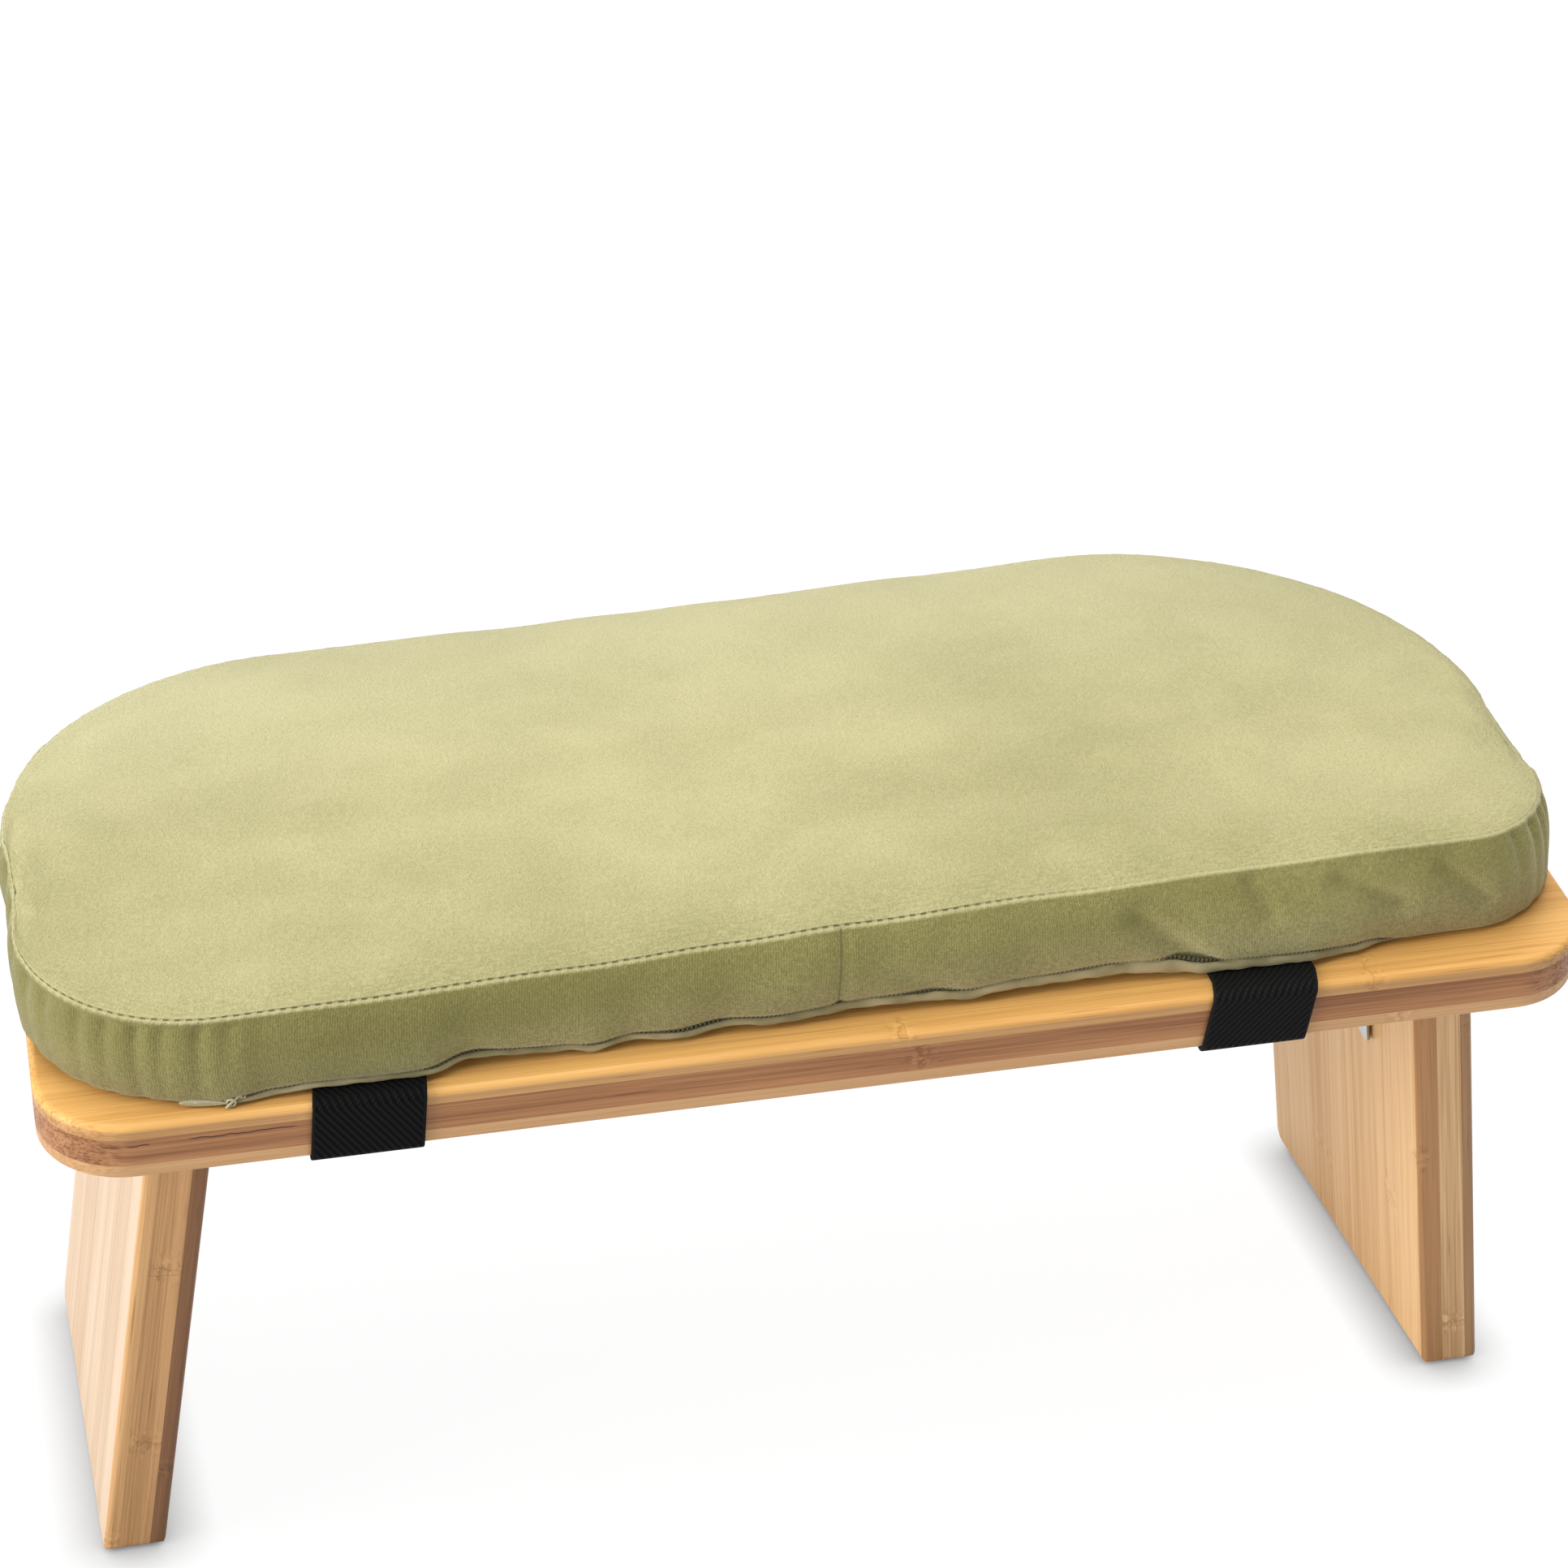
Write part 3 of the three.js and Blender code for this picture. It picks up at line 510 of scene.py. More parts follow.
leg_tones = {  # each layer's light and dark tone, then the same for its narrow front face
    "right": {
        # This layer's broad face is painted brighter than the bamboo's own colour: painted light
        # from the left, reaching under the seat.
        "inner": ((0.95, 0.61, 0.28), (0.70, 0.38, 0.14),
                  (0.48, 0.25, 0.10), (0.27, 0.12, 0.042)),
        "core": ((0.78, 0.51, 0.27), (0.48, 0.28, 0.12),
                 (0.78, 0.51, 0.27), (0.45, 0.255, 0.11)),
        # Painted shade: the outer layer's front face is painted darker than its side.
        "outer": ((0.66, 0.39, 0.19), (0.42, 0.23, 0.10),
                  (0.40, 0.225, 0.10), (0.25, 0.125, 0.056)),
    },
    "left": {
        "inner": ((0.55, 0.31, 0.145), (0.34, 0.175, 0.075),
                  (0.28, 0.132, 0.058), (0.17, 0.074, 0.029)),
        "core": ((0.70, 0.40, 0.18), (0.42, 0.22, 0.09),
                 (0.60, 0.335, 0.145), (0.34, 0.175, 0.066)),
        # Painted reflection: the outer layer is painted paler, for the left softbox's reflection in
        # its satin.
        "outer": ((0.67, 0.50, 0.34), (0.52, 0.35, 0.21),
                  (0.66, 0.385, 0.17), (0.41, 0.205, 0.07)),
    },
}
leg_shares = {"right": (0.38, 0.78), "left": (0.26, 0.76)}  # where the glue lines lie in the plate
foot_rounds = {"right": (6 * mm, 4 * mm), "left": (4 * mm, 3.5 * mm)}  # inner and outer face
leg_knuckles = {  # place along the grain, across it and through the plate, and length, in mm
    "right": {"inner": ((58, -71, 9, 8), (95, -48, 6.5, 11), (30, 60, 6.5, 12)),
              "core": ((132, -74, 17, 7),), "outer": ()},
    "left": {"inner": ((118, 74, 9, 7),), "core": ((38, 74, 16, 9),), "outer": ()},
}
for side, turn in (("right", 0), ("left", math.pi)):
    upright = leg_frame(f"{side}_leg_fold", turn)
    names = [f"{side}_leg_{layer}_ply" for layer in ("inner", "core", "outer")]
    low, high = reach(upright, *names)
    leg = bmesh.new()
    section = [leg.verts.new((x, y, low.z - spare)) for x, y in
               ((low.x, low.y), (high.x, low.y), (high.x, high.y), (low.x, high.y))]
    leg.faces.new(section)
    round_over(leg, section, leg_edge_round, 6, "VERTICES")
    raise_plate(leg, high.z - low.z + 2 * spare)
    bmesh.ops.transform(leg, matrix=upright, verts=leg.verts)
    cut(leg, seat_origin - seat_up * 0.3 * mm, seat_up)
    cut(leg, Vector((0, 0, 0)), foot_plane)
    leg_low, leg_high = reach(seat_frame, *names)
    edge_walls = ((leg_low.y, -seat_along, foot_front_radius),
                  (leg_high.y, seat_along, foot_back_radius))
    for wall_place, wall, radius in edge_walls:
        on_wall = seat_origin + seat_along * wall_place
        corner = on_wall - seat_up * (on_wall.z / seat_up.z)
        round_foot(leg, corner, wall, radius)
    plate_normal, leg_up = upright.to_3x3().col[0], upright.to_3x3().col[2]
    sides = ((low.x, -plate_normal), (high.x, plate_normal))
    for (wall_place, wall), radius in zip(sides, foot_rounds[side]):
        on_wall = upright @ Vector((wall_place, 0, 0))
        round_foot(leg, on_wall - leg_up * (on_wall.z / leg_up.z), wall, radius, 6)
    grain_frame = upright @ Matrix(((0, 0, 1, 0), (0, 1, 0, 0), (-1, 0, 0, 0), (0, 0, 0, 1)))
    edges = [low.x - mm, *(lerp(low.x, high.x, share) for share in leg_shares[side]), high.x + mm]

    # The left leg's frame is turned round, so its narrow front face lies on the other side
    front = (-72.4, -73.2) if side == "right" else (72.4, 73.2)
    for index, (layer_name, tones) in enumerate(leg_tones[side].items()):
        layer = cut_layer(leg, upright, 0, edges[index], edges[index + 1])
        finish = bamboo(f"bamboo_{side}_{layer_name}", grain_frame, *tones[:2],
                        streak=0.75 if layer_name == "inner" else 1.0,
                        seed=4.1 + 1.7 * index + 6.3 * turn, faces=((1, *front, *tones[2:]),),
                        knuckles=leg_knuckles[side][layer_name])
        ply = piece_from(layer, f"{side}_leg_{layer_name}_layer", finish)
        weighted(ply)
        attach(ply, f"{side}_leg")
        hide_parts(names[index])
    leg.free()


# Folding brackets: pressed from 2 mm sheet, zinc plated, with a riveted pin through their ears
# and countersunk wood screws. The CAD's own shapes stay.
def zinc(name, colour, roughness):
    finish = Finish(name, metallic=1)
    place = finish.object_place()
    clouds = finish.noise(place, 90, 3)
    grit = finish.noise(place, 1400)
    worn = finish.patches(place, 260, 3, 0.6, 0.5, 0.75)
    shade = finish.tint(clouds, colour, tuple(0.72 * part for part in colour))
    finish.set(base_color=finish.tint(worn * 0.35, shade, (0.78, 0.77, 0.74)))
    finish.set(roughness=roughness + 0.18 * (clouds - 0.5) + 0.08 * worn)
    finish.bump(grit, 0.02 * mm)
    return finish


plate_finish = zinc("zinc_plate", (0.58, 0.59, 0.60), 0.34)
screw_finish = zinc("zinc_screw", (0.50, 0.51, 0.52), 0.28)
for node_name, node in frame["nodes"].items():
    if any(word in node_name for word in ("bracket", "screw", "pin")):
        metal = plate_finish if "bracket" in node_name else screw_finish
        for number in range(max(1, len(node.data.materials))):
            if node.data.materials:
                node.data.materials[number] = metal.material
            else:
                node.data.materials.append(metal.material)


# Cushion: a foam slab in a velvet box cover, its top panel sewn to a side band whose ends meet
# at the middle of the front. The band stands on a base panel, and along the front a zip joins
# the two. The slab lies a little higher at the right, and the velvet puckers at the corners.
def along_line(stations, x):
    """Smooth value between stations given as (place, value) in mm"""
    if x <= stations[0][0]:
        return stations[0][1]
    for (start, low), (end, high) in zip(stations, stations[1:]):
        if x <= end:
            share = (x - start) / (end - start)
            return low + (high - low) * share * share * (3 - 2 * share)
    return stations[-1][1]


# The cushion's course along the seat, as pairs of x and value in mm: heights and lifts above the
# board, fronts and backs from the board's front edge, and the room that the zip takes
seam_heights = ((-230, 27.6), (-190, 27.8), (-144, 27.9), (-80, 30.0), (-33, 31.6), (0, 32.6),
                (64, 34.2), (115, 35.2), (166, 35.6), (230, 36.2))
seam_fronts = ((-200, 8.0), (-144, 8.8), (-80, 9.4), (-33, 10.6), (0, 11.7), (64, 13.2),
               (115, 14.4), (166, 15.8), (230, 16.4))
back_rises = ((-200, 0), (-130, 1.3), (110, 1.4), (180, 0))
seam_backs = ((-150, 189.8), (-20, 189.0), (60, 190.4), (130, 191.2), (230, 190.4))
foot_fronts = ((-200, 6.6), (-188, 5.6), (-176, 3.4), (-164, 5.2), (-154, 5.0), (-139, 4.8),
               (-122, 4.7), (-109, 8.6), (-81, 8.8), (-74, 7.9), (-64, 9.3), (-49, 8.6),
               (-34, 10.2), (-22, 9.4), (4, 10.8), (25, 11.0), (37, 10.4), (62, 11.6), (83, 12.0),
               (98, 11.0), (107, 9.2), (140, 9.0), (152, 11.4), (168, 15.4), (190, 16.4),
               (230, 16.8))
foot_lifts = ((-215, 0.5), (-188, 0.6), (-176, 0.2), (-164, 0.6), (-154, 1.5), (-122, 1.5),
              (-109, 2.6), (-81, 1.2), (-74, 0.4), (-64, 1.8), (-49, 0.8), (-34, 2.0), (-22, 1.2),
              (-11, 1.5), (4, 2.4), (25, 1.8), (37, 1.1), (45, 2.4), (62, 2.3), (83, 2.4),
              (98, 1.6), (107, 1.5), (140, 1.5), (152, 0.9), (190, 0.5))
zip_rooms = ((-186, 0.0), (-172, 2.6), (-120, 2.6), (-35, 2.9), (-12, 3.8), (60, 4.2), (84, 5.0),
             (98, 5.8), (108, 4.6), (140, 4.0), (158, 3.2), (172, 0.0))

# Its left end is -1 and its right end 1, each with a value at the foot and one at the seam
end_places = {-1: (231.0, 230.6), 1: (229.4, 219.8)}
front_radii = {-1: (50, 52), 1: (36, 30)}
back_radii = {-1: (85, 86), 1: (98, 101)}
foot_back, base_lift = 188.6, 0.5
board_height = board_top / mm


def end_of(x):
    return -1 if x < 0 else 1


def corner_dip(x, half, share, inset, radii):
    """How far the outline has turned in from its straight side at x, near a rounded end"""
    radius = lerp(*radii[end_of(x)], share) - inset
    past = max(0, abs(x) - (half - radius))
    return radius - math.sqrt(max(0, radius * radius - past * past))


def outline_point(u, v, share, inset):
    """Plan of the cushion in mm, u along it and v from front to back, both from -1 to 1. The
    share runs from 0 at the foot of the band to 1 at the top seam."""
    half = lerp(*end_places[end_of(u)], share) - inset
    x = half * math.sin(u * math.pi / 2)
    front = lerp(along_line(foot_fronts, x), along_line(seam_fronts, x), share) + inset
    front += corner_dip(x, half, share, inset, front_radii)
    back = lerp(foot_back, along_line(seam_backs, x), share) - inset
    back -= corner_dip(x, half, share, inset, back_radii)
    y = lerp(front, back, (1 + 0.5 * v + 0.5 * math.sin(v * math.pi / 2)) / 2)
    squeeze = 1.4 * u ** 8 * (1 - v * v) * share
    return x - math.copysign(squeeze, u), y


# Rings of the band from the top seam down, as (share of the height, inset in mm), down to the
# lip that turns under
rings = ((1.0, 0.0), (0.965, -0.7), (0.92, -1.15), (0.85, -1.6), (0.76, -1.95), (0.66, -2.15),
         (0.56, -2.2), (0.46, -2.1), (0.36, -1.9), (0.27, -1.6), (0.18, -1.2), (0.10, -0.9),
         (0.04, -0.5), (0.0, 0.5))
columns, rows = 168, 46
on_rim = 0.999  # u or v past this lies on the block's rim
seam_crease = 0.75


def crown(u, v):
    """1 in the middle of the top, 0 at its seam"""
    return (1 - abs(math.sin(u * math.pi / 2)) ** 5) * (1 - abs(v) ** 5)


def foot_lift(x, v):
    """How far the band's foot stands off the board, which is more where its front waves"""
    return along_line(foot_lifts, x) if v < -on_rim else base_lift


def cushion_point(u, v, level):
    """Place in the seat's frame, in mm, of a point of the block that the cushion is made from.
    Level 0 is the top with its seam, then come the rings of the band, and last the base."""
    if level > len(rings) - 0.5:
        x, y = outline_point(u, v, 0, 2.4)
        lift = along_line(foot_lifts, x) if v < -0.9 else base_lift
        return Vector((x, y, board_height + lift * (0.5 if v > -on_rim else 1)))
    share, inset = rings[int(round(level))]
    x, y = outline_point(u, v, share, inset)
    foot = board_height + foot_lift(x, v) + 0.3
    if v < -on_rim:
        foot += along_line(zip_rooms, x)
    z = lerp(foot, board_height + along_line(seam_heights, x), share)
    z += along_line(back_rises, x) * share * max(0, v)
    if level < 0.5:
        unevenness = noise.noise(Vector((x * 0.009, y * 0.012, 3.1)))
        z += (2.5 + 0.7 * unevenness) * crown(u, v)
    return Vector((x, y, z))


block = bmesh.new()
bmesh.ops.create_grid(block, x_segments=columns, y_segments=rows, size=1)
lower = bmesh.ops.duplicate(block, geom=block.verts[:] + block.edges[:] + block.faces[:])["geom"]
lower_verts = set(verts_of(lower))
lower_faces = [part for part in lower if isinstance(part, bmesh.types.BMFace)]
bmesh.ops.reverse_faces(block, faces=lower_faces)
bmesh.ops.translate(block, vec=(0, 0, len(rings)), verts=list(lower_verts))
rim = [edge for edge in block.edges if edge.is_boundary and edge.verts[0] not in lower_verts]
for _ in rings:
    grown = bmesh.ops.extrude_edge_only(block, edges=rim)["geom"]
    rim = [edge for edge in edges_of(grown) if edge.is_boundary]
    bmesh.ops.translate(block, vec=(0, 0, 1), verts=verts_of(grown))
bmesh.ops.remove_doubles(block, verts=block.verts, dist=1e-4)


# Each point knows its place along the top seam and its distance from it, up the top or down the
# band, so that stitches, gathers and pile can follow the seam
def seam_runs():
    """Distance round the top seam in mm for each place on the rim, from the middle of the back,
    and the seam's whole length"""
    across = [2 * step / columns - 1 for step in range(columns + 1)]
    beside = [2 * step / rows - 1 for step in range(rows + 1)]
    loop = [(u, 1) for u in reversed(across) if u <= 0] + [(-1, v) for v in reversed(beside[:-1])]
    loop += [(u, -1) for u in across[1:]] + [(1, v) for v in beside[1:]]
    loop += [(u, 1) for u in reversed(across[:-1]) if u > 0]
    found, total, before = {}, 0, None
    for u, v in loop:
        place = cushion_point(u, v, 0)
        total += (place - before).length if before else 0
        found[round(u, 4), round(v, 4)] = total
        before = place
    return found, total + (cushion_point(0, 1, 0) - before).length


runs, whole_seam = seam_runs()
rim_places = [(cushion_point(u, v, 0).xy, run) for (u, v), run in runs.items()]
band_foot, base_off = -45, -60  # distances from the seam that lie below the band, in mm
run_layer = block.verts.layers.float.new("run")
off_layer = block.verts.layers.float.new("off")
crease_layer = block.edges.layers.float.new("crease_edge")
for edge in block.edges:
    ends = [vertex.co for vertex in edge.verts]
    if all(end.z < 0.5 and max(abs(end.x), abs(end.y)) > on_rim for end in ends):
        edge[crease_layer] = seam_crease
for vertex in block.verts:
    u, v, level = vertex.co
    rims = [(u, -1), (u, 1), (-1, v), (1, v)]
    place = cushion_point(u, v, level)
    if max(abs(u), abs(v)) > on_rim:
        vertex[run_layer] = runs[round(u, 4), round(v, 4)]
        vertex[off_layer] = -(cushion_point(u, v, 0) - place).length
    elif level > 1:
        vertex[off_layer] = base_off
    else:
        spans = [(cushion_point(*side, 0).xy - place.xy).length for side in rims]
        near = rims[spans.index(min(spans))]
        vertex[run_layer] = runs[round(near[0], 4), round(near[1], 4)]
        vertex[off_layer] = min(spans)
for vertex in block.verts:
    vertex.co = cushion_point(*vertex.co) * mm
block.normal_update()
bmesh.ops.recalc_face_normals(block, faces=block.faces)
cushion_data = bpy.data.meshes.new("cushion_cover")
block.to_mesh(cushion_data)
block.free()
cushion = linked("cushion_cover", cushion_data)


def fill_with_foam(piece, pressure, cap, held):
    """Pressure fills the cover as its foam does, and no point moves by more than the cap"""
    start = [vertex.co.copy() for vertex in piece.data.vertices]
    group = piece.vertex_groups.new(name="held")
    group.add(held, 1, "REPLACE")
    cloth = piece.modifiers.new("cloth", "CLOTH")
    cloth.settings.quality = 5
    for strain, stiffness in (("tension", 12), ("compression", 12), ("shear", 6), ("bending", 0.6)):
        setattr(cloth.settings, f"{strain}_stiffness", stiffness)
    cloth.settings.use_pressure = True
    cloth.settings.uniform_pressure_force = pressure
    cloth.settings.vertex_group_mass = "held"
    cloth.settings.effector_weights.gravity = 0
    last_frame = 20
    cloth.point_cache.frame_start = 1
    cloth.point_cache.frame_end = last_frame
    for number in range(1, last_frame + 1):
        bpy.context.scene.frame_set(number)
    settled = piece.evaluated_get(bpy.context.evaluated_depsgraph_get()).to_mesh()
    moved = [vertex.co.copy() for vertex in settled.vertices]
    piece.modifiers.remove(cloth)
    piece.vertex_groups.remove(group)
    bpy.context.scene.frame_set(1)
    for vertex, before, after in zip(piece.data.vertices, start, moved):
        shift = after - before
        if shift.length > cap:
            shift *= cap / shift.length
        vertex.co = before + shift


def applied(piece):
    """The piece's mesh with its modifiers made real"""
    shown = piece.evaluated_get(bpy.context.evaluated_depsgraph_get())
    finished = bpy.data.meshes.new_from_object(shown)
    piece.modifiers.clear()
    piece.data = finished


held_below = board_top + 6 * mm
low_points = [vertex.index for vertex in cushion.data.vertices if vertex.co.z < held_below]
fill_with_foam(cushion, 0.3, 2.2 * mm, low_points)
modify(cushion, "subdivision", "SUBSURF", levels=1, render_levels=1)
applied(cushion)

# The run starts and ends at the middle of the back. The subdivision's new points between the two
# take their mean, so they are given the far end again
for vertex, run in zip(cushion.data.vertices, cushion.data.attributes["run"].data):
    if vertex.co.y > 100 * mm and 0.5 * mm < vertex.co.x < 4 * mm:
        run.value = whole_seam - vertex.co.x / mm

# Gathers under the seam where the band goes round the corners, soft creases in the band's
# front, and the joint of the band's ends, pressed into the finished cover
gathers = (  # place on the seam as x and y, depth, width and reach down the band, in mm
    (-166, 8, 0.6, 2.6, 9), (-176, 8, 1.2, 2.0, 12), (-184, 9, 1.7, 1.9, 15),
    (-192, 10, 1.5, 1.9, 14), (-200, 12, 1.9, 1.9, 16), (-208, 16, 1.6, 1.9, 16),
    (-215, 22, 1.5, 2.0, 18), (-222, 32, 1.2, 2.2, 18), (-226, 42, 1.5, 3.0, 30),
    (-229, 58, 2.8, 4.0, 40), (-229, 76, 2.6, 4.0, 40), (-230, 94, 2.4, 4.5, 40),
    (-230, 112, 1.6, 4.5, 30), (-226, 130, 1.0, 4.0, 24),
    (153, 15, 0.5, 2.4, 9), (176, 16, 0.35, 2.2, 8), (200, 20, 1.6, 1.8, 18),
    (207, 24, 2.0, 1.6, 20), (212, 28, 2.0, 1.6, 22), (216, 33, 2.1, 1.6, 24),
    (219, 40, 2.4, 2.2, 26), (220, 52, 1.8, 2.6, 22),
)
creases = (  # both ends as x and distance from the seam, depth and width, in mm
    (86, -12, 106, -30, 2.6, 4.0), (148, -9, 168, -20, 2.5, 3.6), (30, -9, 52, -18, 0.9, 6.0),
    (-60, -20, -40, -28, 0.7, 5.0), (181, -10, 196, -24, 1.8, 3.6), (12, -14, 26, -26, 0.7, 6.0),
    (-125, -16, -108, -24, 0.6, 5.0), (120, -5, 126, -16, 1.4, 3.0),
)
band_joint = -2.5
seam_depth, lip_rise, joint_depth, ripple_depth = 0.3, 0.28, 0.7, 0.35


def run_at(x, y):
    """Run of the place on the seam that lies nearest"""
    return min(((place - Vector((x, y))).length, run) for place, run in rim_places)[1]


placed_gathers = [(run_at(x, y), *sizes) for x, y, *sizes in gathers]


def gather_depth(run, off):
    depth = 0
    for middle, band_painted_shade, wide, length in placed_gathers:
        if abs(run - middle) < 4 * wide:
            depth += band_painted_shade * math.exp(off / length) * math.exp(-((run - middle) / wide) ** 2)
    return depth


def crease_depth(x, off):
    depth = 0
    for x0, off0, x1, off1, band_painted_shade, wide in creases:
        span = Vector((x1 - x0, off1 - off0))
        step = Vector((x - x0, off - off0))
        share = max(0, min(1, step.dot(span) / span.length_squared))
        away = (step - span * share).length
        depth += band_painted_shade * math.exp(-(away / wide) ** 2)
    return depth


normals = [vertex.normal.copy() for vertex in cushion.data.vertices]
layers = cushion.data.attributes
for vertex, normal in zip(cushion.data.vertices, normals):
    run = layers["run"].data[vertex.index].value
    off = layers["off"].data[vertex.index].value
    x, y, _ = vertex.co / mm
    press = 0
    if band_foot < off < 0:
        press += gather_depth(run, off) * along_line(((-3.5, 1), (-0.6, 0)), off)
    if off < -0.5 and y < 60:
        press += crease_depth(x, off)
        press += joint_depth * math.exp(-((x - band_joint) / 0.9) ** 2)
    if band_foot < off < 3:
        bumps = max(0.1, 0.6 + 1.3 * noise.noise(Vector((run * 0.3, 3.3, 0))))
        press += seam_depth * math.exp(-(off / 0.6) ** 2)
        press -= lip_rise * bumps * math.exp(-((off + 1.25) / 0.7) ** 2)
    ripple = noise.noise(Vector((x * 0.035, y * 0.05, off * 0.06)))
    press += ripple_depth * ripple if off > band_foot else 0
    vertex.co -= normal * press * mm


# Velvet: short olive pile with a soft sheen, faint ribs down the band, and patches where the
# pile was stroked another way
def seam_map(piece):
    """UV map whose U is the run along the top seam and V the distance from it, in metres"""
    layer = piece.data.uv_layers.new(name="seam")
    run = piece.data.attributes["run"].data
    off = piece.data.attributes["off"].data
    for face in piece.data.polygons:
        past_start = face.center.x > 0 and face.center.y > 100 * mm
        for corner, place in zip(face.loop_indices, face.vertices):
            along = run[place].value
            if past_start and along < 2:
                along += whole_seam
            layer.data[corner].uv = (along * mm, off[place].value * mm)


def velvet_finish():
    finish = Finish("olive_velvet", roughness=0.95, specular_ior_level=0.1)
    finish.set(sheen_weight=0.6, sheen_roughness=0.45, sheen_tint=(0.98, 0.93, 0.68))
    place = finish.place_in(seat_frame)
    x, y, z = finish.split(place)
    run, off, _ = finish.split(finish.uv("seam"))
    under = finish.fall(off, -1.2 * mm, -0.2 * mm)
    nap = finish.patches(finish.vector(x * 0.8 + y * 0.5, y - x * 0.2, z), 13)
    stroke = finish.patches(finish.vector(x * 0.7, y, z), 45)
    pile = finish.patches(place, 900, 2, 0.6)
    grain = finish.patches(place, 2300, 1, low=0.25, high=0.75)
    ribs = finish.wave(run + finish.noise(place, 60, 1) * 1.2 * mm, 0.75 * mm) * under
    beside = finish.fall(off, 4 * mm, 18 * mm) * finish.step(off, 0.8 * mm, 2 * mm)
    rows_near = finish.patches(finish.vector(run * 0.2, off, 0), 1100, 1) * beside

    # Stitch holes along the seam on its slack left part, and a lifted lip of pile beside it, which
    # is also painted lighter as a painted highlight
    stitch_pitch = 3.2 * mm
    slack = finish.fall(x, 20 * mm, 90 * mm)
    beat = (run / stitch_pitch).maths("FRACT")
    hole = finish.step(beat, 0.05, 0.2) * finish.fall(beat, 0.5, 0.75)
    waver = finish.noise(finish.vector(run, 0, 0), 300, 1) - 0.5
    line_off = abs(off - 0.2 * mm + waver * 0.5 * mm)
    line = finish.fall(line_off, 0.12 * mm, 0.5 * mm) * (0.12 + 0.88 * slack)
    lip_top = finish.step(off, -1.9 * mm, -1.0 * mm)
    lip_and_highlight = lip_top * finish.fall(off, -0.35 * mm, 0.15 * mm) * (1 - 0.35 * hole * slack)
    joint_off = abs(x - band_joint * mm + waver * 0.4 * mm)
    joint = finish.fall(joint_off, 0.08 * mm, 0.4 * mm) * under
    joint = joint * finish.fall(y, 30 * mm, 40 * mm)

    tone = 0.5 + (nap - 0.5) * 0.2 + (stroke - 0.5) * 0.12 + (pile - 0.5) * 0.18
    tone = tone + (grain - 0.5) * 0.24 + ribs * 0.06 - rows_near * 0.16 + lip_and_highlight * 0.2 - under * 0.1
    shade = finish.tint(finish.step(tone, 0, 1), (0.31, 0.285, 0.125), (0.55, 0.505, 0.265))
    # Painted light: the top is painted lighter and paler towards the back
    shade = finish.tint(finish.step(y, 70 * mm, 200 * mm) * 0.4, shade, (0.56, 0.53, 0.33))
    # Painted shade: the band below the seam is painted darker than the top, with darker tones of
    # its own and a tenth taken off its tone above
    band_painted_shade = finish.tint(finish.step(tone, 0.1, 0.9), (0.215, 0.195, 0.062), (0.42, 0.385, 0.145))
    # Painted reflection: low on the band the velvet is painted greyer and browner, as the floor and
    # the wood are seen in it
    low_band_painted_reflection = finish.tint(pile, (0.24, 0.205, 0.105), (0.38, 0.34, 0.19))
    band_painted_shade = finish.tint(finish.step(off, -10 * mm, -28 * mm) * 0.5, band_painted_shade, low_band_painted_reflection)
    # Painted shade: the band is painted darker towards its left end
    left_end_painted_shade = finish.fall(x, -190 * mm, -40 * mm)
    band_painted_shade = finish.tint(left_end_painted_shade * 0.42, band_painted_shade, (0.115, 0.10, 0.03))
    shade = finish.tint(under * (1 - lip_and_highlight * 0.6), shade, band_painted_shade)
    shade = finish.tint(line * (0.15 + 0.7 * hole) + joint * 0.5, shade, (0.085, 0.078, 0.02))
    finish.set(base_color=shade)
    height = 0.6 * pile + 0.7 * grain + 0.3 * stroke + ribs * 0.15 + rows_near * 0.6 + lip_and_highlight * 1.6
    finish.bump(height - line * 2.2 - hole * line * 2 - joint * 2, 0.22 * mm, 0.7)
    return finish


seam_map(cushion)
velvet = velvet_finish()
cushion.data.materials.clear()
cushion.data.materials.append(velvet.material)
for face in cushion.data.polygons:
    face.use_smooth = True
cushion.data.transform(seat_frame)
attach(cushion, "seat")
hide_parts("cushion_top_panel", "cushion_side_band", "cushion_base_panel", "cushion_foam")


# Zip: two tapes of olive cloth with a nylon coil between them, sewn in between the band's lip
# and the base panel. It waves where the cover is slack, and dips where the straps hold it down.
zip_from, zip_to = -180, 172


def foot_front(x):
    """How far back the front of the cushion's foot lies at x, in mm"""
    half = end_places[end_of(x)][0]
    return outline_point(math.asin(x / half) * 2 / math.pi, -1, 0, 0)[1]


def zip_place(x, out, up):
    """A place on the zip's line in mm: out from the front of the foot, and up as a share of the
    room between the foot and the band's lip"""
    room = max(1.2, along_line(zip_rooms, x))
    return Vector((x, foot_front(x) - out, board_height + foot_lift(x, -1) + 0.2 + up * room))


def cloth_tape_finish():
    finish = Finish("olive_zip_tape", roughness=0.8, specular_ior_level=0.25)
    finish.set(sheen_weight=0.25, sheen_roughness=0.4, sheen_tint=(0.9, 0.85, 0.6))
    along, up, _ = finish.split(finish.uv("weave"))
    warp = finish.wave(along, 0.55 * mm)
    weft = finish.wave(up, 0.45 * mm)
    fading = finish.noise(finish.object_place(), 90)
    tone = finish.step(fading + warp * weft * 0.18, 0.2, 0.8)
    finish.set(base_color=finish.tint(tone, (0.24, 0.21, 0.10), (0.50, 0.43, 0.24)))
    finish.bump(warp * weft + fading * 2, 0.12 * mm, 0.8)
    return finish


